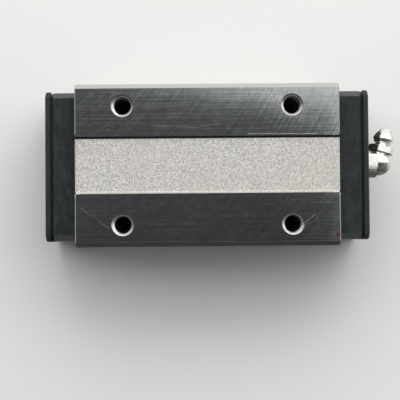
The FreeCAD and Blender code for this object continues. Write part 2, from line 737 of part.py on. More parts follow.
def end_cap():
    """Front end cap: moulded, with the outer halves of the ball turns in its inner face."""
    cap = along_x(cap_outline(0), HALF_LENGTH, CAP_OUTER_X)
    cap = edge_chamfered(cap, CAP_OUTER_X, CAP_EDGE_CHAMFER)
    through = (HALF_LENGTH - OVERSHOOT, CAP_OUTER_X + OVERSHOOT)
    cuts = [along_x(rail_section(CAP_RAIL_GAP), *through)]
    for _, row, direction in circuits():
        for space in turn_space(row, direction):
            cuts += both_sides(space)
    cuts += both_sides(bridge_box(GUIDE_CLEARANCE))
    cuts += retainer_sockets()
    for place in screw_places():
        start = place + Vector(through[0], 0, 0)
        cuts.append(Part.makeCylinder(SCREW_HOLE_RADIUS, through[1] - through[0], start, X_AXIS))
    port = Vector(CAP_OUTER_X + OVERSHOOT, PORT_Y, -PORT_DEPTH)
    cuts.append(Part.makeCylinder(PORT_RADIUS, PORT_LENGTH + OVERSHOOT, port, -X_AXIS))
    cuts.append(Part.makeCylinder(PORT_FEED_RADIUS, CAP_THICKNESS + 2 * OVERSHOOT, port, -X_AXIS))
    cuts += lube_grooves()
    return cap.cut(cuts)


def seal_plate():
    """Front seal plate: flat steel, set in from the outline, which leaves the groove round the end."""
    plate = along_x(cap_outline(-PLATE_INSET), CAP_OUTER_X, PLATE_OUTER_X)
    through = (CAP_OUTER_X - OVERSHOOT, PLATE_OUTER_X + OVERSHOOT)
    cuts = [along_x(rail_section(PLATE_RAIL_GAP), *through)]
    for place in screw_places():
        start = place + Vector(through[0], 0, 0)
        cuts.append(Part.makeCylinder(SCREW_HOLE_RADIUS, through[1] - through[0], start, X_AXIS))
    port_radius = PORT_RADIUS + PORT_MOUTH_CLEARANCE
    port = Vector(through[0], PORT_Y, -PORT_DEPTH)
    cuts.append(Part.makeCylinder(port_radius, through[1] - through[0], port, X_AXIS))
    return plate.cut(cuts)


def end_seal():
    """Front end seal: rubber, a little larger than the cap, with a thin lip that follows the rail."""
    seal = along_x(cap_outline(SEAL_OVERSIZE), PLATE_OUTER_X, SEAL_OUTER_X)
    seal = edge_chamfered(seal, SEAL_OUTER_X, SEAL_EDGE_CHAMFER)
    through = (PLATE_OUTER_X - OVERSHOOT, SEAL_OUTER_X + OVERSHOOT)
    cuts = [
        along_x(rail_section(SEAL_RAIL_GAP), *through),
        along_x(rail_section(SEAL_LIP_WIDTH), PLATE_OUTER_X + SEAL_LIP_THICKNESS, through[1]),
    ]
    head_space = SCREW_HEAD_RADIUS + SCREW_HEAD_CLEARANCE
    for place in screw_places():
        start = place + Vector(through[0], 0, 0)
        cuts.append(Part.makeCylinder(head_space, through[1] - through[0], start, X_AXIS))
    port_radius = PORT_RADIUS + PORT_MOUTH_CLEARANCE
    port = Vector(through[0], PORT_Y, -PORT_DEPTH)
    cuts.append(Part.makeCylinder(port_radius, through[1] - through[0], port, X_AXIS))
    return seal.cut(cuts)


def cap_screw(place):
    """Front cap screw: low round head with a hexagon socket, seated on the seal plate."""
    head_base = place + Vector(PLATE_OUTER_X, 0, 0)
    head = Part.makeCylinder(SCREW_HEAD_RADIUS, SCREW_HEAD_HEIGHT, head_base, X_AXIS)
    shank_length = PLATE_OUTER_X - HALF_LENGTH + SCREW_THREAD_LENGTH
    shank_start = head_base + X_AXIS * (SCREW_HEAD_HEIGHT - SCREW_SOCKET_DEPTH)
    shank_length += SCREW_HEAD_HEIGHT - SCREW_SOCKET_DEPTH
    shank = Part.makeCylinder(SCREW_RADIUS, shank_length, shank_start, -X_AXIS)
    socket = hexagon_prism(SCREW_SOCKET_WIDTH, SCREW_SOCKET_DEPTH + OVERSHOOT, shank_start, X_AXIS, Z_AXIS)
    return union([head, shank]).cut(socket)


def cap_screws():
    return Part.makeCompound([cap_screw(place) for place in screw_places()])


def nipple_centre():
    """Middle of the elbow, where the shank's axis meets the head's axis."""
    return Vector(SEAL_OUTER_X + NIPPLE_BASE_HEIGHT + ELBOW_STRAIGHT, PORT_Y, -PORT_DEPTH)


def head_direction():
    """Axis of the nipple's head, across the block and leaning away from it."""
    return Vector(math.sin(HEAD_LEAN), math.cos(HEAD_LEAN), 0)


def nipple_elbow():
    """Elbow of the grease nipple: threaded shank, hexagon base, round knee and seat for the head."""
    base = Vector(SEAL_OUTER_X, PORT_Y, -PORT_DEPTH)
    centre = nipple_centre()
    direction = head_direction()
    seat = centre + direction * HEAD_SEAT_DISTANCE
    corner_radius = NIPPLE_BASE_WIDTH / math.sqrt(3)
    hexagon = hexagon_prism(NIPPLE_BASE_WIDTH, NIPPLE_BASE_HEIGHT, base, X_AXIS, Z_AXIS)
    hexagon = hexagon.common(chamfered_disc(corner_radius, NIPPLE_BASE_HEIGHT, base, X_AXIS))
    knee = Part.makeSphere(ELBOW_RADIUS, centre)
    barrel = Part.makeCylinder(ELBOW_RADIUS, ELBOW_STRAIGHT + OVERSHOOT, centre, -X_AXIS)
    branch = Part.makeCylinder(ELBOW_BRANCH_RADIUS, HEAD_SEAT_DISTANCE, centre, direction)
    shank_radius = PORT_RADIUS - PORT_THREAD_CLEARANCE
    shank = Part.makeCylinder(shank_radius, NIPPLE_SHANK_LENGTH + OVERSHOOT, base + X_AXIS * OVERSHOOT,
                              -X_AXIS)
    solid = union([hexagon, knee, barrel, branch, shank])
    spot_face = Part.makeCylinder(HEAD_HEX_WIDTH, HEAD_HEX_WIDTH, seat, direction)
    bore = Part.makeCylinder(NIPPLE_BORE_RADIUS, centre.x - base.x + NIPPLE_SHANK_LENGTH + OVERSHOOT,
                             centre, -X_AXIS)
    pocket_depth = HEAD_SPIGOT_LENGTH + HEAD_FIT_CLEARANCE
    pocket = Part.makeCylinder(HEAD_SPIGOT_RADIUS + HEAD_FIT_CLEARANCE, pocket_depth, seat, direction * -1)
    passage = Part.makeCylinder(NIPPLE_BORE_RADIUS, HEAD_SEAT_DISTANCE, centre, direction)
    return solid.cut([spot_face, bore, pocket, passage])


def head_height():
    """Distance from the head's seat on the elbow to its tip."""
    return HEAD_HEX_HEIGHT + HEAD_NECK_LENGTH + HEAD_RIM_LENGTH + HEAD_DOME_LENGTH + HEAD_TIP_LENGTH


def check_ball_height():
    """Distance from the head's seat on the elbow to the centre of the closed check ball."""
    room = CHECK_BALL_RADIUS + CHECK_BALL_CLEARANCE / 2
    return head_height() - CHECK_SEAT_LAND - math.sqrt(room ** 2 - CHECK_SEAT_RADIUS ** 2)


def nipple_head():
    """Head of the grease nipple: hexagon, neck and the domed grip, hollow for the check ball."""
    direction = head_direction()
    seat = nipple_centre() + direction * HEAD_SEAT_DISTANCE
    flat = FreeCAD.Rotation(direction, math.degrees(HEAD_ROLL)).multVec(Z_AXIS)
    hexagon = hexagon_prism(HEAD_HEX_WIDTH, HEAD_HEX_HEIGHT, seat, direction, flat)
    hexagon = hexagon.common(chamfered_disc(HEAD_HEX_WIDTH / math.sqrt(3), HEAD_HEX_HEIGHT, seat, direction))
    rim = HEAD_HEX_HEIGHT + HEAD_NECK_LENGTH
    dome = rim + HEAD_RIM_LENGTH
    outline = [
        Vector(0, 0, -HEAD_SPIGOT_LENGTH),
        Vector(HEAD_SPIGOT_RADIUS, 0, -HEAD_SPIGOT_LENGTH),
        Vector(HEAD_SPIGOT_RADIUS, 0, HEAD_HEX_HEIGHT / 2),
        Vector(HEAD_NECK_RADIUS, 0, HEAD_HEX_HEIGHT / 2),
        Vector(HEAD_NECK_RADIUS, 0, rim - HEAD_RIM_UNDERCUT),
        Vector(HEAD_RIM_RADIUS, 0, rim),
        Vector(HEAD_RIM_RADIUS, 0, dome),
        Vector(HEAD_DOME_RADIUS, 0, dome + HEAD_DOME_LENGTH),
        Vector(HEAD_TIP_RADIUS, 0, head_height()),
        Vector(0, 0, head_height()),
    ]
    stem = placed(turned(outline), seat, direction)
    chamber_radius = CHECK_BALL_RADIUS + CHECK_BALL_CLEARANCE
    chamber = [
        Vector(0, 0, -HEAD_SPIGOT_LENGTH - OVERSHOOT),
        Vector(chamber_radius, 0, -HEAD_SPIGOT_LENGTH - OVERSHOOT),
        Vector(chamber_radius, 0, check_ball_height()),
        Vector(CHECK_SEAT_RADIUS, 0, head_height() - CHECK_SEAT_LAND),
        Vector(CHECK_SEAT_RADIUS, 0, head_height() + OVERSHOOT),
        Vector(0, 0, head_height() + OVERSHOOT),
    ]
    return union([hexagon, stem]).cut(placed(turned(chamber), seat, direction))


def check_ball():
    """Ball that closes the nipple's mouth from inside."""
    centre = nipple_centre() + head_direction() * (HEAD_SEAT_DISTANCE + check_ball_height())
    return faceted_ball(CHECK_BALL_RADIUS).translated(centre)


def nipple_spring():
    """Coil spring between the elbow and the check ball, of square wire."""
    start = -HEAD_SPIGOT_LENGTH + SPRING_WIRE_WIDTH / 2 + SPRING_END_GAP
    ball_gap = CHECK_BALL_RADIUS - math.sqrt(CHECK_BALL_RADIUS ** 2 - SPRING_COIL_RADIUS ** 2)
    end = check_ball_height() - CHECK_BALL_RADIUS + ball_gap - SPRING_WIRE_WIDTH - SPRING_END_GAP
    path = Part.makeHelix((end - start) / SPRING_TURNS, end - start, SPRING_COIL_RADIUS)
    half = SPRING_WIRE_WIDTH / 2
    corners = []
    for side, rise in ((-1, -1), (1, -1), (1, 1), (-1, 1), (-1, -1)):
        corners.append(Vector(SPRING_COIL_RADIUS + side * half, 0, rise * half))
    spring = Part.Wire(path).makePipeShell([Part.makePolygon(corners)], True, True)
    base = nipple_centre() + head_direction() * (HEAD_SEAT_DISTANCE + start)
    return placed(spring, base, head_direction())


def port_plug():
    """Rear port plug: a set screw with a hexagon socket."""
    mouth = Vector(-CAP_OUTER_X, PORT_Y, -PORT_DEPTH)
    radius = PORT_RADIUS - PORT_THREAD_CLEARANCE
    plug = Part.makeCylinder(radius, PLUG_LENGTH, mouth, X_AXIS)
    socket = hexagon_prism(PLUG_SOCKET_WIDTH, PLUG_SOCKET_DEPTH + OVERSHOOT,
                           mouth - X_AXIS * OVERSHOOT, X_AXIS, Z_AXIS)
    return plug.cut(socket)


def build_nodes():
    """Every piece of the block by name."""
    nodes = {"carriage_body": carriage_body()}
    for name, row, direction in circuits():
        circuit = ball_circuit(row, direction)
        nodes["ball_circuit_" + name + "_left"] = circuit
        nodes["ball_circuit_" + name + "_right"] = other_side(circuit)
    nodes["top_retainer"] = retainer(top_retainer_section)
    sided = {
        "side_retainer": retainer(side_retainer_section),
        "lower_retainer": retainer(lower_retainer_section),
        "bottom_seal": bottom_seal(),
    }
    for name, shape in sided.items():
        nodes[name + "_left"] = shape
        nodes[name + "_right"] = other_side(shape)
    ended = {
        "end_cap": end_cap(),
        "seal_plate": seal_plate(),
        "end_seal": end_seal(),
        "cap_screws": cap_screws(),
    }
    for name, shape in ended.items():
        nodes[name + "_front"] = shape
        nodes[name + "_rear"] = other_end(shape)
    guide = return_guide()
    nodes["return_guide_front_left"] = guide
    nodes["return_guide_front_right"] = other_side(guide)
    nodes["return_guide_rear_left"] = other_end(guide)
    nodes["return_guide_rear_right"] = other_end(other_side(guide))
    nodes["nipple_elbow"] = nipple_elbow()
    nodes["nipple_head"] = nipple_head()
    nodes["nipple_check_ball"] = check_ball()
    nodes["nipple_spring"] = nipple_spring()
    nodes["port_plug"] = port_plug()
    return nodes


os.makedirs("parts", exist_ok=True)
for node, shape in build_nodes().items():
    shape.exportStep("parts/" + node + ".step")
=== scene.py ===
"""Looks of a linear bearing block: ground steel body, moulded end caps, rubber seals and a plated nipple."""
import math

import bmesh
import bpy
from bpy.props import FloatProperty, FloatVectorProperty, IntProperty, PointerProperty
from mathutils import Matrix, Vector


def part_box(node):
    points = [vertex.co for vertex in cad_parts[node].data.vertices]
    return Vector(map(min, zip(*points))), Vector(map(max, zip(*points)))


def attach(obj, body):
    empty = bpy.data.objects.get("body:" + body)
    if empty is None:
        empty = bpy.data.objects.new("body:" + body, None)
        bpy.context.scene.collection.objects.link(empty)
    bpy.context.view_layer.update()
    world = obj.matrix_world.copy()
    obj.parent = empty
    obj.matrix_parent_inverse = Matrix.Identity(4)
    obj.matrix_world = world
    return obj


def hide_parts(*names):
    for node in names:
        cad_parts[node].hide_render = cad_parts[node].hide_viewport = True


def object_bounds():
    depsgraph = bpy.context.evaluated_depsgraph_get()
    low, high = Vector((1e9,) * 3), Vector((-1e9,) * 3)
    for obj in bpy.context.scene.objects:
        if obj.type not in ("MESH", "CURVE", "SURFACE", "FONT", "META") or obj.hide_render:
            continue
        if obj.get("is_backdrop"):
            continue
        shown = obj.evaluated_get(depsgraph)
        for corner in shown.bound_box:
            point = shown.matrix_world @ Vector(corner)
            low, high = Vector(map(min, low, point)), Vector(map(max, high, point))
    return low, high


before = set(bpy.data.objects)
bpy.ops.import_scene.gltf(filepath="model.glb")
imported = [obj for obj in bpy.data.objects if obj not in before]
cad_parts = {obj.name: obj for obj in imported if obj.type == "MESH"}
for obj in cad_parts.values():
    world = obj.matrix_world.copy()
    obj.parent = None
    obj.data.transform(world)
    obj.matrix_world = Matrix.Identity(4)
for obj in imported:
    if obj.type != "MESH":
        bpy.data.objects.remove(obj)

bl_info = {
    "name": "Bearing block looks",
    "version": (1, 0, 0),
    "blender": (4, 5, 0),
    "location": "3D View > Sidebar > Bearing Block",
    "description": "Pieces, finishes and studio for a linear bearing block",
    "category": "Object",
}

MM = 0.001
BLOCK = "block"
CHECK_BALL = "check_ball"
ENDS = ("front", "rear")
SIDES = ("left", "right")
CIRCUITS = ("upper_left", "upper_right", "lower_left", "lower_right")

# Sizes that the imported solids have, in millimetres
BODY_HALF_LENGTH = 39.0
BODY_HALF_WIDTH = 24.0
RECESS_HALF_WIDTH = 8.45
RECESS_DEPTH = 0.7
DATUM_DEPTH = 13.0
HOLE_PLACES = ((25.0, 17.5), (-25.0, 17.5), (-25.0, -17.5), (25.0, -17.5))
HOLE_RADIUS = 2.5
COUNTERSINK_RADIUS = 3.3
HOLE_DEPTH = 9.0
HEAD_PLACE = (53.7, 7.8, -11.1)
HEAD_AXIS = (0.2588190451, 0.9659258263, 0.0)
HEAD_SEAM_HEIGHT = -4.1
RIM_EDGE_HEIGHT = -1.03
RIM_NECK_RADIUS = 2.72
RIM_BAND = 0.2

# The thread: rows down its wall, steps round it, and where the 60 degree flanks of a ridge end, as shares of
# the pitch from the ridge's middle; then its clearances in millimetres
THREAD_ROWS = 96
THREAD_STEPS = 64
CREST_SHARE = 0.135
FOOT_SHARE = 0.378
SLEEVE_WALL = 0.04
BODY_CLEARANCE = 0.02
BOTTOM_CLEARANCE = 0.1
SEAM_DISTANCE = 1e-6

# Edges: roundings in millimetres, and the angles in degrees past which an edge is rounded or stays hard
SCREW_ROUND = 0.12
PLATED_ROUND = 0.10
MOULDED_ANGLE = 35.0
SCREW_ANGLE = 40.0
PLATED_ANGLE = 25.0
BODY_ANGLE = 22.0
THREAD_ANGLE = 30.0

# Masks on the steel and the caps, in millimetres: limits past everything, then each mask's reach from the
# middle and its heights
PAST_ENDS = 60.0
PAST_SIDES = BODY_HALF_WIDTH + 1.0
UNDERNEATH = -40.0
BELOW_HOLES = -HOLE_DEPTH - 4.0
LAND_HEIGHTS = (-0.02, 0.5)
RECESS_REACH = RECESS_HALF_WIDTH - 0.62
RECESS_HEIGHTS = (-RECESS_DEPTH - 0.5, -RECESS_DEPTH + 0.08)
WALL = (RECESS_HALF_WIDTH - 0.66, RECESS_HALF_WIDTH + 0.7)
WALL_HEIGHTS = (-RECESS_DEPTH + 0.04, -0.03)
CHAMFER = (BODY_HALF_WIDTH - 1.4, PAST_SIDES)
CHAMFER_HEIGHTS = (-2.0, -0.06)
FLANK = (BODY_HALF_WIDTH - 0.65, PAST_SIDES)
FLANK_HEIGHTS = (UNDERNEATH, -DATUM_DEPTH)
CAP_EDGE = (20.3, 22.4)
CAP_EDGE_HEIGHTS = (-6.4, -4.3)
END_REACH = BODY_HALF_LENGTH - 0.2
PAINT_DOT = ((37.5, -21.5, -0.8), (38.95, -20.3, 0.6))
CONE_REACH = 3.36
THREAD_REACH = 3.4

# The side of each tapped hole that faces away from the light, which gets painted shade
SHADED_HOLE_SIDE = (0.35, 0.94, 0.0)

# Colours of painted shade in the tapped holes and on the nipple, of pale dust, and of the black retainers
# inside
HOLE_SHADE_COLOUR = (0.05, 0.05, 0.047)
NIPPLE_SHADE_COLOUR = (0.05, 0.05, 0.042)
PALE_DUST = (0.16, 0.16, 0.15)
RETAINER_COLOUR = (0.035, 0.036, 0.036)

# The photograph's camera, fitted to the block's edges and holes
CAMERA_TURN = (math.radians(-1.8674), math.radians(0.4668), math.radians(0.4868))
CAMERA_OFFSET = (2.220, 10.418, -322.796)
FOCAL_PIXELS = 1100.0
PHOTO_PIXELS = 400.0
SENSOR_WIDTH = 36.0

# The stage, in metres
FLOOR_HALF = 4.0
WINDOW_PLACE = (0.08, 0.50, 0.42)
WINDOW_TARGET = (0.0, 0.0, -0.02)
WINDOW_SIZE = (0.8, 0.40)
WINDOW_TINT = (1.0, 0.99, 0.97)


def colour_property(name, description, default):
    """Colour that a user may change."""
    return FloatVectorProperty(name=name, description=description, subtype="COLOR", size=3, min=0.0, max=1.0,
                               default=default)


class BLOCK_PG_steel(bpy.types.PropertyGroup):
    land_colour: colour_property(
        "Land colour", "Colour of the ground mounting lands", (0.385, 0.407, 0.411))
    blasted_colour: colour_property(
        "Blasted colour", "Colour of the shot-blasted recess", (0.565, 0.557, 0.527))
    land_roughness: FloatProperty(
        name="Land roughness", description="Roughness of the ground lands",
        subtype="FACTOR", min=0.0, max=1.0, default=0.085)
    thread_pitch: FloatProperty(
        name="Thread pitch", description="Pitch of the tapped holes' thread in millimetres",
        min=0.2, max=3.0, default=1.0)
    thread_depth: FloatProperty(
        name="Thread depth", description="Depth of the tapped holes' thread in millimetres",
        min=0.05, max=1.0, default=0.42)


class BLOCK_PG_mouldings(bpy.types.PropertyGroup):
    cap_colour: colour_property(
        "Cap colour", "Colour of the moulded end caps", (0.008, 0.0105, 0.0102))
    seal_colour: colour_property(
        "Seal colour", "Colour of the rubber seals", (0.010, 0.012, 0.012))
    guide_colour: colour_property(
        "Guide colour", "Colour of the return guides", (0.50, 0.49, 0.45))
    edge_round: FloatProperty(
        name="Edge round", description="Width of the rounding on moulded edges",
        unit="LENGTH", min=0.0, max=0.001, default=0.00012)


class BLOCK_PG_fittings(bpy.types.PropertyGroup):
    plate_colour: colour_property(
        "Plating colour", "Colour of the nickel plate on the grease nipple", (0.89, 0.87, 0.83))
    ball_detail: IntProperty(
        name="Ball detail", description="Times that a ball's faces are divided",
        min=1, max=5, default=4)
    ball_radius: FloatProperty(
        name="Ball radius", description="Radius of the load balls",
        unit="LENGTH", min=0.0001, max=0.01, default=0.002381)


class BLOCK_PG_studio(bpy.types.PropertyGroup):
    floor_colour: colour_property(
        "Floor colour", "Colour of the plain floor", (0.80, 0.80, 0.79))
    window_power: FloatProperty(
        name="Window power", description="Power of the large soft light beside the block",
        unit="POWER", min=0.0, max=200.0, default=2.4)
    room_strength: FloatProperty(
        name="Room strength", description="Strength of the soft light from all round",
        min=0.0, max=4.0, default=0.78)


def set_inputs(tree, node, values):
    """Give a node its inputs: another node's socket is linked, any other value is set on the input itself."""
    for key, value in values.items():
        if isinstance(value, bpy.types.NodeSocket):
            tree.links.new(value, node.inputs[key])
        else:
            node.inputs[key].default_value = value


def add(tree, kind, inputs=None, **settings):
    """Add a node with its settings and inputs."""
    node = tree.nodes.new(kind)
    for name, value in settings.items():
        setattr(node, name, value)
    set_inputs(tree, node, inputs or {})
    return node


def calc(tree, operation, *values, clamp=False):
    """Result of a math node."""
    node = add(tree, "ShaderNodeMath", dict(enumerate(values)), operation=operation, use_clamp=clamp)
    return node.outputs[0]


def plus(tree, total, *others):
    """Sum of the values."""
    for other in others:
        total = calc(tree, "ADD", total, other)
    return total


def minus(tree, value, other):
    """Difference of two values."""
    return calc(tree, "SUBTRACT", value, other)


def times(tree, product, *others):
    """Product of the values."""
    for other in others:
        product = calc(tree, "MULTIPLY", product, other)
    return product


def mixed(tree, *parts):
    """Sum of values that each come with their share."""
    return plus(tree, *[times(tree, value, share) for value, share in parts])


def outside(tree, mask):
    """What a mask leaves free."""
    return minus(tree, 1.0, mask)


def vector_calc(tree, operation, *values):
    """Result of a vector math node that gives a vector."""
    node = add(tree, "ShaderNodeVectorMath", dict(enumerate(values)), operation=operation)
    return node.outputs["Vector"]


def vector_number(tree, operation, *values):
    """Result of a vector math node that gives a number."""
    node = add(tree, "ShaderNodeVectorMath", dict(enumerate(values)), operation=operation)
    return node.outputs["Value"]


def parts_of(tree, vector):
    """X, Y and Z of a vector."""
    return add(tree, "ShaderNodeSeparateXYZ", {0: vector}).outputs


def between(tree, value, low, high, to_low=0.0, to_high=1.0):
    """Value carried from one range to another and kept within it."""
    node = add(tree, "ShaderNodeMapRange",
               {"Value": value, "From Min": low, "From Max": high, "To Min": to_low, "To Max": to_high})
    return node.outputs[0]


def spread(tree, mask, low, high):
    """Mask carried to a range."""
    return between(tree, mask, 0.0, 1.0, low, high)


def noise(tree, place, scale, detail, roughness=0.5):
    """Outputs of a noise texture at a place."""
    return add(tree, "ShaderNodeTexNoise",
               {"Vector": place, "Scale": scale, "Detail": detail, "Roughness": roughness}).outputs


def colour(value):
    """Colour as a socket takes it; another node's socket stays as it is."""
    return value if isinstance(value, bpy.types.NodeSocket) else (*value[:3], 1.0)


def shade(rgb, share):
    """Lighter or darker colour."""
    return tuple(min(value * share, 1.0) for value in rgb)


def blend(tree, mask, first, second):
    """Colour that is the first where the mask is 0 and the second where it is 1."""
    node = add(tree, "ShaderNodeMix", {0: mask, 6: colour(first), 7: colour(second)},
               data_type="RGBA", clamp_factor=True)
    return node.outputs[2]


def layered(tree, base, *layers):
    """Colour with layers laid over it in turn, each given as its mask, strength and colour."""
    for mask, strength, over in layers:
        base = blend(tree, times(tree, mask, strength) if strength < 1.0 else mask, base, over)
    return base


def bump(tree, height, strength, distance_in_mm):
    """Normal of a surface that a height roughens."""
    return add(tree, "ShaderNodeBump", {
        "Height": height, "Strength": strength, "Distance": distance_in_mm * MM}).outputs["Normal"]


def place_in_mm(tree):
    """Place on the object in millimetres."""
    place = add(tree, "ShaderNodeTexCoord").outputs["Object"]
    return vector_calc(tree, "MULTIPLY", place, (1000.0, 1000.0, 1000.0))


def off_hole(tree, place):
    """How far a place lies off the centre line of the tapped hole beside it."""
    folded = vector_calc(tree, "SUBTRACT", vector_calc(tree, "ABSOLUTE", place), (*HOLE_PLACES[0], 0.0))
    return vector_number(tree, "LENGTH", vector_calc(tree, "MULTIPLY", folded, (1.0, 1.0, 0.0)))


def streaks(tree, given):
    """Fine lines that run one way, as grinding, drawing or flow leaves them."""
    place = vector_calc(tree, "MULTIPLY", place_in_mm(tree), given["Across"])
    return between(tree, noise(tree, place, 1.0, given["Detail"], 0.6)["Fac"], 0.3, 0.7)


def wheel_arcs(tree, given):
    """Long curved marks of a cup wheel, round a centre beside the block."""
    away = vector_calc(tree, "SUBTRACT", place_in_mm(tree), given["Centre"])
    flat = vector_calc(tree, "MULTIPLY", away, (1.0, 1.0, 0.0))
    parts = parts_of(tree, flat)
    turn = calc(tree, "ARCTAN2", parts["Y"], parts["X"])
    rolled_out = add(tree, "ShaderNodeCombineXYZ", {
        "X": times(tree, vector_number(tree, "LENGTH", flat), given["Per mm"]),
        "Y": times(tree, turn, 3.0)})
    return between(tree, noise(tree, rolled_out.outputs[0], 1.0, 2.0, 0.55)["Fac"], 0.38, 0.68)


def surface_grain(tree, given):
    """Even grain of a blasted, moulded or cast surface."""
    grain = noise(tree, place_in_mm(tree), given["Per mm"], given["Detail"], 0.65)["Fac"]
    return between(tree, grain, given["Low"], given["High"])


def scratch(tree, given):
    """One hairline scratch from a start to an end, in millimetres on the object."""
    place = place_in_mm(tree)
    centred = vector_calc(tree, "SUBTRACT", noise(tree, place, 0.35, 1.0)["Color"], (0.5, 0.5, 0.5))
    place = vector_calc(tree, "ADD", place, vector_calc(tree, "MULTIPLY", centred, (0.5, 0.5, 0.0)))
    run = vector_calc(tree, "SUBTRACT", given["End"], given["Start"])
    away = vector_calc(tree, "SUBTRACT", place, given["Start"])
    along = calc(tree, "DIVIDE", vector_number(tree, "DOT_PRODUCT", away, run),
                 vector_number(tree, "DOT_PRODUCT", run, run), clamp=True)
    scaled = add(tree, "ShaderNodeVectorMath", {0: run, "Scale": along}, operation="SCALE").outputs["Vector"]
    off = vector_number(tree, "LENGTH", vector_calc(tree, "SUBTRACT", away, scaled))
    strength = between(tree, noise(tree, place, 0.35, 1.0)["Fac"], 0.3, 0.55, 0.5, 1.0)
    return times(tree, between(tree, off, given["Width"], 0.0), strength)


def region(tree, given):
    """Surface that lies within a box, in millimetres, with a narrow soft edge."""
    place = place_in_mm(tree)
    above = parts_of(tree, vector_calc(tree, "SUBTRACT", place, given["Low"]))
    below = parts_of(tree, vector_calc(tree, "SUBTRACT", given["High"], place))
    nearest = given["Edge"]
    for axis in ("X", "Y", "Z"):
        for way in (above, below):
            nearest = calc(tree, "MINIMUM", nearest, way[axis])
    return between(tree, nearest, 0.0, given["Edge"])


def hole_inside(tree, given):
    """Inside of the four tapped holes, stronger with depth."""
    place = place_in_mm(tree)
    height = parts_of(tree, place)["Z"]
    near = times(tree, calc(tree, "LESS_THAN", off_hole(tree, place), given["Reach"]),
                 calc(tree, "GREATER_THAN", height, BELOW_HOLES))
    return times(tree, near, between(tree, height, given["Shallow"], given["Deep"]))


def hole_side(tree, given):
    """How far a place lies from the centre of its tapped hole towards one side, in millimetres."""
    place = place_in_mm(tree)
    centre = vector_calc(tree, "MULTIPLY", vector_calc(tree, "SIGN", place), (*HOLE_PLACES[0], 0.0))
    return vector_number(tree, "DOT_PRODUCT", vector_calc(tree, "SUBTRACT", place, centre), given["Towards"])


def ring(tree, given):
    """Broken ring that deburring leaves round the mouth of a tapped hole."""
    place = place_in_mm(tree)
    off = calc(tree, "ABSOLUTE", minus(tree, off_hole(tree, place), given["Reach"]))
    gaps = between(tree, noise(tree, place, 0.45, 3.0)["Fac"], 0.46, 0.60)
    return times(tree, between(tree, off, given["Width"], 0.0), gaps)


def dust(tree, given):
    """Sparse pale specks, such as dust and fine handling marks."""
    place = place_in_mm(tree)
    specks = add(tree, "ShaderNodeTexVoronoi", {"Vector": place, "Scale": given["Per mm"], "Randomness": 1.0})
    size = between(tree, noise(tree, place, 0.15, 2.0)["Fac"], 0.4, 0.7, 0.0, given["Amount"])
    return calc(tree, "LESS_THAN", specks.outputs["Distance"], size)


# The shared effects: the function that builds each, its output, and its inputs with their defaults
EFFECTS = {
    "Streaks": (streaks, "Lines", {"Across": (0.05, 4.0, 4.0), "Detail": 3.0}),
    "Wheel arcs": (wheel_arcs, "Lines", {"Centre": (-110.0, 0.0, 0.0), "Per mm": 3.0}),
    "Surface grain": (surface_grain, "Grain", {"Per mm": 3.0, "Detail": 3.0, "Low": 0.3, "High": 0.7}),
    "Scratch": (scratch, "Mask", {"Start": (0.0, 0.0, 0.0), "End": (1.0, 0.0, 0.0), "Width": 0.1}),
    "Region": (region, "Mask", {"Low": (-1.0, -1.0, -1.0), "High": (1.0, 1.0, 1.0), "Edge": 0.04}),
    "Hole inside": (hole_inside, "Mask", {"Reach": 3.2, "Shallow": -0.6, "Deep": -4.5}),
    "Hole side": (hole_side, "Distance", {"Towards": SHADED_HOLE_SIDE}),
    "Ring": (ring, "Mask", {"Reach": 3.8, "Width": 0.15}),
    "Dust": (dust, "Mask", {"Per mm": 1.2, "Amount": 0.2}),
}


def effect_group(name):
    """Node group of a shared effect, with its inputs and its one output."""
    build, output, inputs = EFFECTS[name]
    group = bpy.data.node_groups.new(name, "ShaderNodeTree")
    for label, default in inputs.items():
        kind = "NodeSocketVector" if isinstance(default, tuple) else "NodeSocketFloat"
        group.interface.new_socket(label, in_out="INPUT", socket_type=kind).default_value = default
    group.interface.new_socket(output, in_out="OUTPUT", socket_type="NodeSocketFloat")
    given = group.nodes.new("NodeGroupInput").outputs
    result = group.nodes.new("NodeGroupOutput").inputs
    group.links.new(build(group, given), result[output])
    return group


def effect(tree, name, **values):
    """Output of a shared effect, built at its first use and placed in a material with its own values."""
    node = tree.nodes.new("ShaderNodeGroup")
    node.node_tree = bpy.data.node_groups.get(name) or effect_group(name)
    set_inputs(tree, node, {key.replace("_", " ").capitalize(): value for key, value in values.items()})
    return node.outputs[0]


def strip(tree, y_range, heights, edge):
    """Mask of a strip that runs the whole length of the block."""
    return effect(tree, "Region", low=(-PAST_ENDS, y_range[0], heights[0]),
                  high=(PAST_ENDS, y_range[1], heights[1]), edge=edge)


def side_strips(tree, reach, heights, edge=0.02):
    """Masks of a strip on the left of the block and of one on the right, by their reach from the middle."""
    near, far = reach
    return [strip(tree, y_range, heights, edge) for y_range in ((near, far), (-far, -near))]


def new_material(name):
    """Material with a Principled shader, and its tree."""
    material = bpy.data.materials.new(name)
    material.use_nodes = True
    return material, material.node_tree


def surface(material, values):
    """Finish a material: its Principled shader gets its inputs."""
    tree = material.node_tree
    set_inputs(tree, tree.nodes["Principled BSDF"], values)
    return material


# Hairlines on the lands: start and end (X, Y), width in millimetres, and how bright each is
SCRATCHES = (
    ((-37.0, -12.6), (-28.7, -18.7), 0.09, 0.62),
    ((-16.4, 11.6), (-9.7, 11.5), 0.07, 0.42),
    ((-9.7, 11.3), (-2.3, 11.0), 0.06, 0.38),
    ((-2.3, 11.2), (3.2, 12.0), 0.05, 0.30),
    ((12.0, 8.95), (32.5, 8.95), 0.07, 0.60),
    ((28.4, -17.3), (31.2, -15.0), 0.08, 0.58),
    ((28.9, -18.0), (32.6, -15.6), 0.05, 0.36),
    ((-7.6, -13.8), (-4.6, -13.9), 0.05, 0.28),
    ((32.0, 14.2), (33.6, 9.8), 0.25, 0.06),
    ((-28.6, 21.6), (-25.6, 20.9), 0.06, 0.35),
    ((-27.4, 20.8), (-29.4, 19.4), 0.05, 0.30),
)


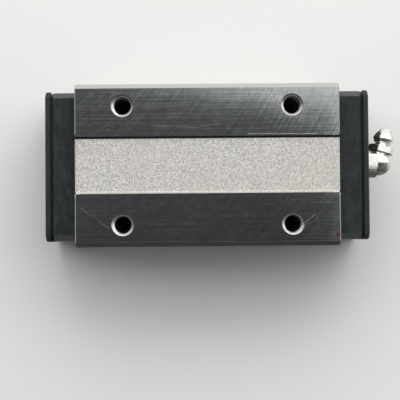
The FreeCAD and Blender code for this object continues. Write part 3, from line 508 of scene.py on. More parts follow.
def hairlines(tree):
    """Mask of all the hairline scratches."""
    mask = 0.0
    for start, end, width, brightness in SCRATCHES:
        line = effect(tree, "Scratch", start=(*start, 0.0), end=(*end, 0.0), width=width)
        mask = calc(tree, "MAXIMUM", mask, times(tree, line, brightness))
    return mask


def wheel_marks(tree, lands):
    """Arcs of the cup wheel on the lands, strongest towards the nipple, and an even tone beside the lands."""
    steep = effect(tree, "Wheel arcs", centre=(-62.0, 50.0, 0.0), per_mm=2.2)
    flat = effect(tree, "Wheel arcs", centre=(-95.0, 90.0, 0.0), per_mm=1.1)
    patches = effect(tree, "Surface grain", per_mm=0.045, detail=2.0, low=0.42, high=0.6)
    place = parts_of(tree, place_in_mm(tree))
    towards_nipple = times(tree, between(tree, place["X"], -8.0, 30.0, 0.12, 1.2),
                           between(tree, place["Y"], 6.0, 18.0, 0.25, 1.0))
    arcs = plus(tree, times(tree, steep, patches, towards_nipple), times(tree, flat, 0.35))
    return mixed(tree, (arcs, lands), (outside(tree, lands), 0.4))


def grinding_lines(tree):
    """Lines of the grinding along the block, in three widths."""
    fine = effect(tree, "Streaks", across=(0.05, 5.0, 5.0), detail=3.0)
    middle = effect(tree, "Streaks", across=(0.03, 2.3, 2.3), detail=4.0)
    broad = effect(tree, "Streaks", across=(0.012, 0.9, 0.9), detail=3.0)
    return mixed(tree, (fine, 0.42), (broad, 0.20), (middle, 0.38))


def ground_colour(tree, land, marks, lands, scratches):
    """Ground steel with its marks, patches of an oily film, deburring rings and hairlines."""
    mottle = effect(tree, "Surface grain", per_mm=0.07, detail=4.0, low=0.35, high=0.65)
    stains = effect(tree, "Surface grain", per_mm=0.5, detail=5.0, low=0.40, high=0.62)
    return layered(
        tree, blend(tree, between(tree, marks, 0.22, 0.74), shade(land, 0.58), shade(land, 1.42)),
        (mottle, 0.45, shade(land, 0.72)),
        (times(tree, stains, spread(tree, lands, 0.12, 0.5)), 1.0, shade(land, 0.55)),
        (effect(tree, "Ring", reach=3.75, width=0.16), 0.3, (0.62, 0.62, 0.60)),
        (scratches, 1.0, (0.95, 0.94, 0.92)))


def drawn_colour(tree):
    """Plain drawn steel below the ground datum sides."""
    lines = effect(tree, "Streaks", across=(0.03, 2.2, 2.2), detail=4.0)
    return blend(tree, lines, (0.18, 0.18, 0.175), (0.28, 0.28, 0.27))


def blasted_grit(tree):
    """Fine grit of the shot-blasted recess, with a little of a coarser one."""
    fine = effect(tree, "Surface grain", per_mm=4.9, detail=1.0, low=0.42, high=0.58)
    coarse = effect(tree, "Surface grain", per_mm=1.6, detail=2.0, low=0.35, high=0.65)
    return mixed(tree, (fine, 0.88), (coarse, 0.12))


def blasted_finish(tree, blasted, grit):
    """Pale blasted steel with a faint warm clouding."""
    cloud = effect(tree, "Surface grain", per_mm=0.05, detail=2.0, low=0.35, high=0.65)
    return layered(tree, blend(tree, grit, shade(blasted, 0.52), shade(blasted, 1.48)),
                   (cloud, 0.25, (0.60, 0.555, 0.52)))


def body_steel(steel):
    """Ground lands and datum sides, blasted recess, darker drawn flanks and tapped holes; painted highlights
    on the chamfer and recess wall that face the light and on the land ends, painted shade on those facing
    away and in the holes.
    """
    material, tree = new_material("Ground and blasted steel")
    lands = strip(tree, (-PAST_SIDES, PAST_SIDES), LAND_HEIGHTS, 0.01)
    recess = strip(tree, (-RECESS_REACH, RECESS_REACH), RECESS_HEIGHTS, 0.04)
    # Painted highlight on the recess wall that faces the light, painted shade on the wall that faces away
    wall_shade, wall_highlight = side_strips(tree, WALL, WALL_HEIGHTS)
    # Painted highlight on the top chamfer on the light's side, painted shade on the chamfer on the far side
    chamfer_highlight, chamfer_shade = side_strips(tree, CHAMFER, CHAMFER_HEIGHTS)
    flanks = calc(tree, "MAXIMUM", *side_strips(tree, FLANK, FLANK_HEIGHTS, 0.05))
    within_ends = effect(tree, "Region", low=(-END_REACH, -PAST_SIDES, UNDERNEATH),
                         high=(END_REACH, PAST_SIDES, 1.0), edge=0.12)
    # Painted highlight: a pale line along the ends of the lands stands in for light off their edges
    end_edge_highlight = times(tree, outside(tree, within_ends), lands)
    paint = effect(tree, "Region", low=PAINT_DOT[0], high=PAINT_DOT[1], edge=0.35)

    # Painted shade: the insides of the tapped holes darken with depth
    holes = effect(tree, "Hole inside", reach=3.2, shallow=-0.5, deep=-3.0)
    from_mouth = effect(tree, "Hole inside", reach=CONE_REACH, shallow=-0.005, deep=-0.05)
    below_cone = effect(tree, "Hole inside", reach=CONE_REACH, shallow=-0.6, deep=-0.7)
    cone = times(tree, from_mouth, outside(tree, below_cone))
    # Painted shade on the side of each countersink that faces away from the light
    side = effect(tree, "Hole side", towards=SHADED_HOLE_SIDE)
    hole_side_shade = times(tree, cone, between(tree, side, -1.4, 1.6, 0.0, 0.88))

    arcs = wheel_marks(tree, lands)
    marks = mixed(tree, (grinding_lines(tree), 0.62), (arcs, 0.38))
    scratches = times(tree, hairlines(tree), lands)
    grit = blasted_grit(tree)
    base = layered(
        tree, ground_colour(tree, steel.land_colour, marks, lands, scratches),
        (flanks, 1.0, drawn_colour(tree)),
        (chamfer_highlight, 0.85, (0.61, 0.595, 0.565)),
        (chamfer_shade, 0.90, (0.075, 0.075, 0.073)),
        (recess, 1.0, blasted_finish(tree, steel.blasted_colour, grit)),
        (end_edge_highlight, 0.28, (0.80, 0.79, 0.77)),
        (wall_highlight, 1.0, (0.90, 0.89, 0.87)),
        (wall_shade, 1.0, (0.07, 0.07, 0.07)),
        (cone, 1.0, (0.84, 0.82, 0.79)),
        (hole_side_shade, 1.0, HOLE_SHADE_COLOUR),
        (holes, 1.0, (0.03, 0.03, 0.028)),
        (paint, 0.8, (0.35, 0.03, 0.04)))

    polish = plus(tree, times(tree, minus(tree, marks, 0.45), 0.06), steel.land_roughness)
    roughness = plus(tree, polish, mixed(tree, (scratches, 0.3), (holes, 0.4), (cone, 0.5), (flanks, 0.22)))
    height = mixed(tree, (marks, 0.055), (scratches, -0.0825), (grit, recess),
                   (times(tree, arcs, lands), 0.05))
    return surface(material, {
        "Base Color": base,
        "Roughness": mixed(tree, (roughness, outside(tree, recess)), (recess, 0.68)),
        "Metallic": spread(tree, recess, 1.0, 0.45),
        "Normal": bump(tree, height, 0.45, 0.06)})


def thread_steel():
    """Freshly cut thread with fine turning lines, and painted shade on one side and deep down."""
    material, tree = new_material("Cut thread steel")
    lines = effect(tree, "Streaks", across=(0.6, 0.6, 9.0), detail=2.0)
    # Painted shade: the thread darkens deep down the hole
    deep = effect(tree, "Hole inside", reach=THREAD_REACH, shallow=-2.6, deep=-6.0)
    # Painted shade on the side of the second turn that faces away from the light
    side = effect(tree, "Hole side", towards=SHADED_HOLE_SIDE)
    second_turn = effect(tree, "Hole inside", reach=THREAD_REACH, shallow=-0.75, deep=-1.1)
    hole_side_shade = times(tree, second_turn, between(tree, side, -1.6, 1.4, 0.0, 0.85))
    tone = layered(tree, blend(tree, lines, (0.62, 0.60, 0.57), (0.80, 0.78, 0.74)),
                   (hole_side_shade, 1.0, HOLE_SHADE_COLOUR),
                   (deep, 1.0, (0.10, 0.098, 0.095)))
    return surface(material, {
        "Base Color": tone, "Roughness": spread(tree, lines, 0.26, 0.38),
        "Normal": bump(tree, lines, 0.3, 0.03), "Metallic": 1.0})


def cap_plastic(mouldings):
    """Glass-filled black plastic with a spark-eroded mould grain, paler rubs and a few specks."""
    material, tree = new_material("Moulded black plastic")
    grain = effect(tree, "Surface grain", per_mm=2.6, detail=3.0, low=0.3, high=0.7)
    cloud = effect(tree, "Surface grain", per_mm=0.22, detail=5.0, low=0.38, high=0.64)
    scuffs = effect(tree, "Streaks", across=(0.9, 0.16, 0.9), detail=5.0)
    # Painted highlight: the caps' top edges are paler and more specular, standing in for light along their
    # chamfers
    edges = calc(tree, "MAXIMUM", *side_strips(tree, CAP_EDGE, CAP_EDGE_HEIGHTS, 0.2))
    base = mouldings.cap_colour
    tone = layered(
        tree, blend(tree, cloud, shade(base, 0.2), shade(base, 2.6)),
        (grain, 0.4, shade(base, 3.4)),
        (scuffs, 0.4, shade(base, 6.0)),
        (effect(tree, "Dust", per_mm=0.9, amount=0.13), 0.5, PALE_DUST),
        (edges, 0.2, (0.07, 0.076, 0.074)))
    return surface(material, {
        "Base Color": tone, "Roughness": spread(tree, cloud, 0.38, 0.60),
        "Normal": bump(tree, grain, 0.5, 0.10), "Specular IOR Level": spread(tree, edges, 0.16, 0.7)})


def seal_rubber(mouldings):
    """Smooth nitrile rubber, a little bloomed, with faint flow marks."""
    material, tree = new_material("Seal rubber")
    bloom = effect(tree, "Surface grain", per_mm=0.2, detail=5.0, low=0.38, high=0.7)
    fine = effect(tree, "Surface grain", per_mm=5.0, detail=2.0, low=0.3, high=0.7)
    base = mouldings.seal_colour
    tone = layered(tree, blend(tree, bloom, base, shade(base, 2.0)),
                   (effect(tree, "Dust", per_mm=1.1, amount=0.08), 0.4, (0.14, 0.14, 0.14)))
    return surface(material, {
        "Base Color": tone, "Roughness": spread(tree, bloom, 0.42, 0.58),
        "Normal": bump(tree, fine, 0.2, 0.04), "Specular IOR Level": 0.3})


def inner_plastic(name, rgb, contrast):
    """Plain moulded plastic of the pieces inside, with fine flow lines."""
    material, tree = new_material(name)
    flow = effect(tree, "Streaks", across=(0.15, 1.2, 1.2), detail=3.0)
    grain = effect(tree, "Surface grain", per_mm=4.0, detail=2.0, low=0.3, high=0.7)
    return surface(material, {
        "Base Color": blend(tree, flow, shade(rgb, 1.0 - contrast), shade(rgb, 1.0 + contrast)),
        "Roughness": spread(tree, grain, 0.34, 0.46),
        "Normal": bump(tree, grain, 0.2, 0.04)})


def rolled_steel():
    """Cold-rolled core plate with rolling lines, stained dark with old grease."""
    material, tree = new_material("Rolled plate steel")
    lines = effect(tree, "Streaks", across=(4.0, 0.08, 3.0), detail=3.0)
    stain = effect(tree, "Surface grain", per_mm=0.3, detail=4.0, low=0.4, high=0.7)
    tone = layered(tree, blend(tree, lines, (0.025, 0.026, 0.026), (0.055, 0.056, 0.056)),
                   (stain, 0.5, (0.012, 0.013, 0.013)))
    return surface(material, {
        "Base Color": tone, "Roughness": spread(tree, lines, 0.35, 0.5),
        "Normal": bump(tree, lines, 0.25, 0.03), "Metallic": 1.0})


def screw_steel():
    """Black oxide on steel, worn a little in spots."""
    material, tree = new_material("Black oxide steel")
    wear = effect(tree, "Surface grain", per_mm=1.4, detail=4.0, low=0.52, high=0.72)
    fine = effect(tree, "Surface grain", per_mm=7.0, detail=2.0, low=0.3, high=0.7)
    return surface(material, {
        "Base Color": layered(tree, (0.045, 0.045, 0.047), (wear, 0.5, (0.24, 0.23, 0.22))),
        "Roughness": spread(tree, fine, 0.30, 0.46),
        "Normal": bump(tree, fine, 0.25, 0.03), "Metallic": 0.85})


def nickel_plate(fittings):
    """Bright nickel over turned steel: faint rings, soft clouding, small nicks, and painted shade on the low
    side and at the head's seat.
    """
    material, tree = new_material("Nickel plate")
    cloud = effect(tree, "Surface grain", per_mm=0.45, detail=4.0, low=0.35, high=0.7)
    rings = effect(tree, "Streaks", across=(1.5, 7.0, 1.5), detail=2.0)
    nicks = effect(tree, "Surface grain", per_mm=2.2, detail=5.0, low=0.60, high=0.74)
    place = place_in_mm(tree)
    along = vector_number(tree, "DOT_PRODUCT", vector_calc(tree, "SUBTRACT", place, HEAD_PLACE), HEAD_AXIS)
    off_seam = calc(tree, "ABSOLUTE", minus(tree, along, HEAD_SEAM_HEIGHT))
    # Painted shade: a dark line in the crease where the head seats
    seat_shade = between(tree, off_seam, 0.34, 0.12, 0.0, 0.9)
    # Painted shade, patchy, darker towards the side that faces down and away from the light
    low_side_shade = between(tree, parts_of(tree, place)["Y"], 0.3, -1.8, 0.0, 0.95)
    patchy = between(tree, cloud, 0.0, 0.5, 0.8, 1.0)
    # The film mask is painted shade: the patchy low side and the seat line
    film = calc(tree, "MAXIMUM", times(tree, low_side_shade, patchy), seat_shade)
    plate = fittings.plate_colour
    tone = layered(tree, blend(tree, cloud, shade(plate, 0.88), plate),
                   (nicks, 0.3, (0.36, 0.33, 0.30)),
                   (film, 1.0, NIPPLE_SHADE_COLOUR))
    return surface(material, {
        "Base Color": tone,
        "Roughness": plus(tree, spread(tree, cloud, 0.13, 0.22), mixed(tree, (nicks, 0.12), (film, 0.12))),
        "Normal": bump(tree, mixed(tree, (rings, 0.5), (nicks, -0.5)), 0.25, 0.03),
        "Metallic": 1.0})


def ball_steel():
    """Lapped chrome steel under a thin film of grease."""
    material, tree = new_material("Lapped ball steel")
    film = effect(tree, "Surface grain", per_mm=0.7, detail=3.0, low=0.38, high=0.68)
    return surface(material, {
        "Base Color": blend(tree, film, (0.62, 0.62, 0.63), (0.74, 0.74, 0.75)),
        "Roughness": spread(tree, film, 0.06, 0.14), "Metallic": 1.0})


def spring_wire():
    """Drawn stainless wire."""
    material, tree = new_material("Spring wire")
    lines = effect(tree, "Streaks", across=(2.0, 2.0, 2.0), detail=3.0)
    return surface(material, {
        "Base Color": blend(tree, lines, (0.42, 0.42, 0.42), (0.58, 0.58, 0.57)),
        "Roughness": spread(tree, lines, 0.2, 0.34), "Metallic": 1.0})


def floor_finish(rgb):
    """Plain pale floor with the faintest unevenness."""
    material, tree = new_material("Pale floor")
    cloud = effect(tree, "Surface grain", per_mm=0.01, detail=2.0, low=0.3, high=0.7)
    return surface(material, {"Base Color": blend(tree, cloud, shade(rgb, 0.985), rgb), "Roughness": 0.6})


def dress(node, material):
    """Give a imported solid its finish."""
    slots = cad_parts[node].material_slots
    if not slots:
        raise RuntimeError(node + " has no material slot")
    for slot in slots:
        slot.link = "OBJECT"
        slot.material = material


def linked_object(name, data):
    """New object in the scene."""
    obj = bpy.data.objects.new(name, data)
    bpy.context.scene.collection.objects.link(obj)
    return obj


def smooth_by_angle(mesh, degrees):
    """Smooth shading with hard edges where faces meet at more than an angle."""
    for polygon in mesh.polygons:
        polygon.use_smooth = True
    mesh.set_sharp_from_angle(angle=math.radians(degrees))


def merged_mesh(node):
    """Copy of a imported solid's mesh with its loose triangles joined and nothing else carried over."""
    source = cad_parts[node].data
    work = bmesh.new()
    verts = [work.verts.new(vert.co) for vert in source.vertices]
    for polygon in source.polygons:
        work.faces.new([verts[index] for index in polygon.vertices])
    bmesh.ops.remove_doubles(work, verts=work.verts, dist=SEAM_DISTANCE)
    bmesh.ops.dissolve_degenerate(work, edges=work.edges, dist=SEAM_DISTANCE / 100.0)
    return work


def mesh_from(work, name):
    """Mesh of finished work, which is freed."""
    mesh = bpy.data.meshes.new(name)
    work.to_mesh(mesh)
    work.free()
    return mesh


def new_piece(name, mesh, material, body, nodes=()):
    """Object that rides on a body, with one material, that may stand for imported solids."""
    mesh.materials.clear()
    mesh.materials.append(material)
    piece = linked_object(name, mesh)
    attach(piece, body)
    if nodes:
        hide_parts(*nodes)
    return piece


def plain_mesh(obj, name):
    """Plain mesh of an object with its modifiers carried out; the object itself is removed."""
    graph = bpy.context.evaluated_depsgraph_get()
    mesh = bpy.data.meshes.new_from_object(obj.evaluated_get(graph), depsgraph=graph)
    mesh.name = name
    bpy.data.objects.remove(obj)
    return mesh


def rounded_piece(node, name, material, width, degrees):
    """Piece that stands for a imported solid, with a small rounding on its sharp edges."""
    mesh = mesh_from(merged_mesh(node), name)
    for polygon in mesh.polygons:
        polygon.use_smooth = True
    obj = linked_object(name, mesh)
    modifier = obj.modifiers.new("Rounding", "BEVEL")
    modifier.width = width
    modifier.segments = 2
    modifier.limit_method = "ANGLE"
    modifier.angle_limit = math.radians(degrees)
    modifier.use_clamp_overlap = False
    modifier.harden_normals = True
    return new_piece(name, plain_mesh(obj, name), material, BLOCK, [node])


def opened_body_mesh(steel):
    """Body whose tapped holes are opened out to the thread's root, along the countersink."""
    work = merged_mesh("carriage_body")
    opened = (HOLE_RADIUS + steel.thread_depth + BODY_CLEARANCE) * MM
    on_wall = 0.02 * MM
    mouth = -0.5 * MM
    for vert in work.verts:
        for x, y in HOLE_PLACES:
            away = Vector((vert.co.x - x * MM, vert.co.y - y * MM))
            if abs(away.length - HOLE_RADIUS * MM) > on_wall or vert.co.z > mouth:
                continue
            wide = away.normalized() * opened
            vert.co.x = x * MM + wide.x
            vert.co.y = y * MM + wide.y
            if vert.co.z > -HOLE_DEPTH * MM / 2:
                vert.co.z = opened - COUNTERSINK_RADIUS * MM
    mesh = mesh_from(work, "ground_body")
    smooth_by_angle(mesh, BODY_ANGLE)
    return mesh


def taper_rim(mesh):
    """Narrow the lower edge of the head's rim, where the grease coupler's jaws grip behind it."""
    axis = Vector(HEAD_AXIS)
    neck = RIM_NECK_RADIUS * MM
    for vert in mesh.vertices:
        away = vert.co - Vector(HEAD_PLACE) * MM
        height = away.dot(axis)
        out = away - axis * height
        if abs(height / MM - RIM_EDGE_HEIGHT) < RIM_BAND and out.length > neck:
            vert.co -= out.normalized() * (out.length - neck)


def new_tree(name, inputs):
    """Empty geometry node group that takes geometry and named inputs, with their identifiers."""
    tree = bpy.data.node_groups.new(name, "GeometryNodeTree")
    tree.interface.new_socket("Geometry", in_out="INPUT", socket_type="NodeSocketGeometry")
    tree.interface.new_socket("Geometry", in_out="OUTPUT", socket_type="NodeSocketGeometry")
    sockets = {}
    for label, kind in inputs.items():
        socket = tree.interface.new_socket(label, in_out="INPUT", socket_type="NodeSocket" + kind)
        sockets[label] = socket.identifier
    given = tree.nodes.new("NodeGroupInput").outputs
    result = tree.nodes.new("NodeGroupOutput").inputs
    return tree, sockets, given, result


def copies_on_places(tree, given, result, shape):
    """End a geometry tree: its shape on every given point, made real, in the given material."""
    points = add(tree, "GeometryNodeMeshToPoints", {"Mesh": given["Geometry"]})
    copies = add(tree, "GeometryNodeInstanceOnPoints", {"Points": points.outputs[0], "Instance": shape})
    real = add(tree, "GeometryNodeRealizeInstances", {"Geometry": copies.outputs[0]})
    finish = add(tree, "GeometryNodeSetMaterial",
                 {"Geometry": real.outputs[0], "Material": given["Material"]})
    tree.links.new(finish.outputs[0], result["Geometry"])


def thread_tree():
    """Geometry nodes: the threaded wall of a tapped hole, cut away by its countersink, at each point.

    A grid is rolled up into a sleeve. Its rows run down the threaded wall and come back up behind it.
    """
    tree, sockets, given, result = new_tree("Tapped thread", {
        "Pitch": "Float", "Core radius": "Float", "Root radius": "Float", "Mouth radius": "Float",
        "Length": "Float", "Material": "Material"})
    last_row = THREAD_ROWS + 3
    grid = add(tree, "GeometryNodeMeshGrid", {
        "Size X": 1.0, "Size Y": 1.0, "Vertices X": THREAD_STEPS + 1, "Vertices Y": last_row + 1})
    place = parts_of(tree, add(tree, "GeometryNodeInputPosition").outputs[0])
    round_share = plus(tree, place["X"], 0.5)
    row = times(tree, plus(tree, place["Y"], 0.5), float(last_row))
    back_up = calc(tree, "MAXIMUM", minus(tree, THREAD_ROWS + 2.0, row), 0.0)
    down_share = calc(tree, "MINIMUM", calc(tree, "DIVIDE", row, float(THREAD_ROWS)), back_up)
    behind = times(tree, calc(tree, "GREATER_THAN", row, THREAD_ROWS + 0.5),
                   calc(tree, "LESS_THAN", row, THREAD_ROWS + 2.5))

    start = minus(tree, given["Mouth radius"], given["Root radius"])
    depth = plus(tree, start, times(tree, down_share, given["Length"]))
    turns = plus(tree, calc(tree, "DIVIDE", depth, given["Pitch"]), round_share)
    off_ridge = calc(tree, "ABSOLUTE", minus(tree, calc(tree, "FRACT", turns), 0.5))
    ridge = between(tree, off_ridge, FOOT_SHARE, CREST_SHARE)
    ridge_height = minus(tree, given["Root radius"], given["Core radius"])
    wall = minus(tree, given["Root radius"], times(tree, ridge, ridge_height))
    front = calc(tree, "MAXIMUM", wall, minus(tree, given["Mouth radius"], depth))
    rear = plus(tree, given["Root radius"], SLEEVE_WALL * MM)
    reach = mixed(tree, (front, outside(tree, behind)), (rear, behind))
    angle = times(tree, round_share, 2 * math.pi)
    rolled = add(tree, "ShaderNodeCombineXYZ", {
        "X": times(tree, reach, calc(tree, "COSINE", angle)),
        "Y": times(tree, reach, calc(tree, "SINE", angle)),
        "Z": times(tree, depth, -1.0)})
    sleeve = add(tree, "GeometryNodeSetPosition",
                 {"Geometry": grid.outputs[0], "Position": rolled.outputs[0]})
    joined = add(tree, "GeometryNodeMergeByDistance",
                 {"Geometry": sleeve.outputs[0], "Distance": SEAM_DISTANCE})
    copies_on_places(tree, given, result, joined.outputs[0])
    return tree, sockets


def ball_tree():
    """Geometry nodes: a round ball on each point."""
    tree, sockets, given, result = new_tree("Ball row", {
        "Radius": "Float", "Divisions": "Int", "Material": "Material"})
    ball = add(tree, "GeometryNodeMeshIcoSphere",
               {"Radius": given["Radius"], "Subdivisions": given["Divisions"]})
    smooth = add(tree, "GeometryNodeSetShadeSmooth", {"Geometry": ball.outputs[0]})
    copies_on_places(tree, given, result, smooth.outputs[0])
    return tree, sockets


def grown_mesh(name, places, growth, values):
    """Plain mesh that a geometry tree grows on places, with its inputs set by their identifiers."""
    tree, sockets = growth
    points = bpy.data.meshes.new(name + "_places")
    points.from_pydata([tuple(place) for place in places], [], [])
    obj = linked_object(name + "_places", points)
    modifier = obj.modifiers.new("Growth", "NODES")
    modifier.node_group = tree
    for label, value in values.items():
        modifier[sockets[label]] = value
    obj.update_tag()
    bpy.context.view_layer.update()
    return plain_mesh(obj, name)


def ball_places(node):
    """Centres of the separate balls in a packed circuit."""
    work = merged_mesh(node)
    left = set(work.verts)
    places = []
    while left:
        island = [left.pop()]
        for vert in island:
            for edge in vert.link_edges:
                other = edge.other_vert(vert)
                if other in left:
                    left.remove(other)
                    island.append(other)
        low = Vector([min(vert.co[axis] for vert in island) for axis in range(3)])
        high = Vector([max(vert.co[axis] for vert in island) for axis in range(3)])
        places.append((low + high) / 2)
    work.free()
    return sorted(places, key=lambda place: tuple(round(value, 6) for value in place))


class BLOCK_OT_body(bpy.types.Operator):
    """Make the ground steel body with its tapped holes"""
    bl_idname = "block.make_body"
    bl_label = "Steel body"

    def execute(self, context):
        steel = context.scene.block_steel
        new_piece("ground_body", opened_body_mesh(steel), body_steel(steel), BLOCK,
                  ["carriage_body"])
        root = HOLE_RADIUS + steel.thread_depth
        length = HOLE_DEPTH - COUNTERSINK_RADIUS + root - BOTTOM_CLEARANCE
        cut = thread_steel()
        places = [(x * MM, y * MM, 0.0) for x, y in HOLE_PLACES]
        mesh = grown_mesh("hole_threads", places, thread_tree(), {
            "Pitch": steel.thread_pitch * MM, "Core radius": HOLE_RADIUS * MM, "Root radius": root * MM,
            "Mouth radius": COUNTERSINK_RADIUS * MM, "Length": length * MM, "Material": cut})
        smooth_by_angle(mesh, THREAD_ANGLE)
        new_piece("hole_threads", mesh, cut, BLOCK)
        return {"FINISHED"}


class BLOCK_OT_caps(bpy.types.Operator):
    """Make the moulded end caps"""
    bl_idname = "block.make_caps"
    bl_label = "End caps"

    def execute(self, context):
        mouldings = context.scene.block_mouldings
        plastic = cap_plastic(mouldings)
        for end in ENDS:
            rounded_piece("end_cap_" + end, "moulded_cap_" + end, plastic,
                          mouldings.edge_round, MOULDED_ANGLE)
        return {"FINISHED"}


class BLOCK_OT_seals(bpy.types.Operator):
    """Make the end seals, their core plates and the bottom seals"""
    bl_idname = "block.make_seals"
    bl_label = "Seals"

    def execute(self, context):
        mouldings = context.scene.block_mouldings
        rubber = seal_rubber(mouldings)
        plate = rolled_steel()
        for end in ENDS:
            rounded_piece("end_seal_" + end, "rubber_seal_" + end, rubber,
                          mouldings.edge_round, MOULDED_ANGLE)
            dress("seal_plate_" + end, plate)
        for side in SIDES:
            dress("bottom_seal_" + side, rubber)
        return {"FINISHED"}


class BLOCK_OT_inner(bpy.types.Operator):
    """Finish the ball retainers and return guides"""
    bl_idname = "block.make_inner"
    bl_label = "Retainers and guides"

    def execute(self, context):
        mouldings = context.scene.block_mouldings
        dark = inner_plastic("Retainer plastic", RETAINER_COLOUR, 0.3)
        pale = inner_plastic("Guide plastic", mouldings.guide_colour, 0.08)
        dress("top_retainer", dark)
        for side in SIDES:
            dress("side_retainer_" + side, dark)
            dress("lower_retainer_" + side, dark)
            for end in ENDS:
                dress("return_guide_" + end + "_" + side, pale)
        return {"FINISHED"}


class BLOCK_OT_balls(bpy.types.Operator):
    """Make the round balls of the four circuits and the check ball"""
    bl_idname = "block.make_balls"
    bl_label = "Balls"

    def execute(self, context):
        fittings = context.scene.block_fittings
        growth = ball_tree()
        lapped = ball_steel()
        low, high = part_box("nipple_check_ball")
        check_radius = max(high[axis] - low[axis] for axis in range(3)) / 2
        rows = [("balls_" + circuit, "ball_circuit_" + circuit, BLOCK, fittings.ball_radius)
                for circuit in CIRCUITS]
        rows.append(("check_ball_round", "nipple_check_ball", CHECK_BALL, check_radius))
        for name, node, body, radius in rows:
            mesh = grown_mesh(name, ball_places(node), growth, {
                "Radius": radius, "Divisions": fittings.ball_detail, "Material": lapped})
            new_piece(name, mesh, lapped, body, [node])
        return {"FINISHED"}


class BLOCK_OT_screws(bpy.types.Operator):
    """Finish the cap screws and the plug in the unused grease port"""
    bl_idname = "block.make_screws"
    bl_label = "Screws"

    def execute(self, context):
        oxide = screw_steel()
        for end in ENDS:
            rounded_piece("cap_screws_" + end, "low_head_screws_" + end, oxide,
                          SCREW_ROUND * MM, SCREW_ANGLE)
        dress("port_plug", oxide)
        return {"FINISHED"}


class BLOCK_OT_nipple(bpy.types.Operator):
    """Make the plated grease nipple: elbow, head and spring"""
    bl_idname = "block.make_nipple"
    bl_label = "Grease nipple"

    def execute(self, context):
        plate = nickel_plate(context.scene.block_fittings)
        for part in ("elbow", "head"):
            piece = rounded_piece("nipple_" + part, "plated_" + part, plate,
                                  PLATED_ROUND * MM, PLATED_ANGLE)
            if part == "head":
                taper_rim(piece.data)
        dress("nipple_spring", spring_wire())
        return {"FINISHED"}


def photo_camera():
    """Camera at the photograph's place, from the fitted turns and offset."""
    about_x, about_y, about_z = CAMERA_TURN
    turn = (Matrix.Rotation(about_x, 3, "X") @ Matrix.Rotation(about_y, 3, "Y")
            @ Matrix.Rotation(about_z, 3, "Z"))
    back = turn.transposed()
    place = back @ (Vector(CAMERA_OFFSET) * -MM)
    data = bpy.data.cameras.new("Photo camera")
    data.sensor_fit = "HORIZONTAL"
    data.sensor_width = SENSOR_WIDTH
    data.lens = FOCAL_PIXELS / PHOTO_PIXELS * SENSOR_WIDTH
    data.clip_start = 0.005
    data.clip_end = 20.0
    camera = linked_object("Photo camera", data)
    camera.matrix_world = Matrix.Translation(place) @ back.to_4x4()
    bpy.context.scene.camera = camera


def window_light(power):
    """Large soft light that stands beside the block and faces it."""
    data = bpy.data.lights.new("Window", "AREA")
    data.shape = "RECTANGLE"
    data.size, data.size_y = WINDOW_SIZE
    data.energy = power
    data.color = WINDOW_TINT
    place = Vector(WINDOW_PLACE)
    turn = (Vector(WINDOW_TARGET) - place).to_track_quat("-Z", "Y")
    linked_object("Window", data).matrix_world = Matrix.Translation(place) @ turn.to_matrix().to_4x4()


def room_light(strength):
    """Soft room, bright on the window side and over the nipple, and dim above and on the other side.

    The ground lands mirror it. The window's edge runs slantwise over the upper land and reaches further in
    over the nipple. Down the window side the light falls off, and across the room stands a dim, low wall.
    """
    world = bpy.data.worlds.new("Soft room")
    world.use_nodes = True
    tree = world.node_tree
    tree.nodes.clear()
    direction = parts_of(tree, add(tree, "ShaderNodeTexCoord").outputs["Generated"])
    x, y, z = (direction[axis] for axis in ("X", "Y", "Z"))
    slant = between(tree, x, -0.12, 0.13, -0.020, 0.025)
    over_nipple = between(tree, x, 0.134, 0.156, 0.0, 0.14)
    window = between(tree, plus(tree, y, plus(tree, slant, over_nipple)), 0.1305, 0.149, 0.0, 1.9)
    fall_off = between(tree, y, 0.25, 0.90, 0.0, -0.80)
    dim_side = between(tree, minus(tree, y, times(tree, x, 0.3)), -0.06, 0.13, 0.12, 0.25)
    low_wall = times(tree, between(tree, z, 0.85, 0.35, 0.0, 0.30), between(tree, y, 0.0, -0.15),
                     between(tree, z, 0.12, 0.30, 0.25, 1.0))
    level = plus(tree, window, plus(tree, dim_side, low_wall), fall_off)
    tone = add(tree, "ShaderNodeCombineColor", {0: level, 1: level, 2: level})
    lit = add(tree, "ShaderNodeBackground", {"Color": tone.outputs[0], "Strength": strength})
    output = add(tree, "ShaderNodeOutputWorld", {"Surface": lit.outputs[0]})
    output.is_active_output = True
    bpy.context.scene.world = world


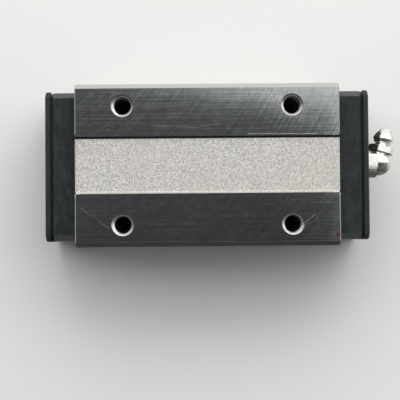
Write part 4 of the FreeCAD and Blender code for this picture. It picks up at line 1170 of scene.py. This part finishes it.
class BLOCK_OT_studio(bpy.types.Operator):
    """Make the floor, the lights and the camera"""
    bl_idname = "block.make_studio"
    bl_label = "Studio"

    def execute(self, context):
        studio = context.scene.block_studio
        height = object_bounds()[0].z
        corners = [(x * FLOOR_HALF, y * FLOOR_HALF, height)
                   for x, y in ((-1, -1), (1, -1), (1, 1), (-1, 1))]
        mesh = bpy.data.meshes.new("studio_floor")
        mesh.from_pydata(corners, [], [(0, 1, 2, 3)])
        mesh.materials.append(floor_finish(studio.floor_colour))
        floor = linked_object("studio_floor", mesh)
        floor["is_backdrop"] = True
        window_light(studio.window_power)
        room_light(studio.room_strength)
        photo_camera()
        context.scene.view_settings.view_transform = "Standard"
        return {"FINISHED"}


OPERATORS = (BLOCK_OT_body, BLOCK_OT_caps, BLOCK_OT_seals, BLOCK_OT_inner, BLOCK_OT_balls, BLOCK_OT_screws,
             BLOCK_OT_nipple, BLOCK_OT_studio)
GROUPS = {
    "block_steel": BLOCK_PG_steel,
    "block_mouldings": BLOCK_PG_mouldings,
    "block_fittings": BLOCK_PG_fittings,
    "block_studio": BLOCK_PG_studio,
}


class BLOCK_PT_panel(bpy.types.Panel):
    bl_idname = "BLOCK_PT_panel"
    bl_label = "Bearing Block"
    bl_space_type = "VIEW_3D"
    bl_region_type = "UI"
    bl_category = "Bearing Block"

    def draw(self, context):
        for group_name in GROUPS:
            group = getattr(context.scene, group_name)
            box = self.layout.box()
            for name in group.bl_rna.properties.keys():
                if name not in {"rna_type", "name"}:
                    box.prop(group, name)
        for operator in OPERATORS:
            self.layout.operator(operator.bl_idname)


def register():
    for group in GROUPS.values():
        bpy.utils.register_class(group)
    for operator in OPERATORS:
        bpy.utils.register_class(operator)
    bpy.utils.register_class(BLOCK_PT_panel)
    for name, group in GROUPS.items():
        setattr(bpy.types.Scene, name, PointerProperty(type=group))


def unregister():
    for name in GROUPS:
        delattr(bpy.types.Scene, name)
    bpy.utils.unregister_class(BLOCK_PT_panel)
    for operator in reversed(OPERATORS):
        bpy.utils.unregister_class(operator)
    for group in reversed(list(GROUPS.values())):
        bpy.utils.unregister_class(group)


def main():
    register()
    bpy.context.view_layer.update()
    bpy.ops.block.make_body()
    bpy.ops.block.make_caps()
    bpy.ops.block.make_seals()
    bpy.ops.block.make_inner()
    bpy.ops.block.make_balls()
    bpy.ops.block.make_screws()
    bpy.ops.block.make_nipple()
    bpy.ops.block.make_studio()


if __name__ == "__main__":
    main()
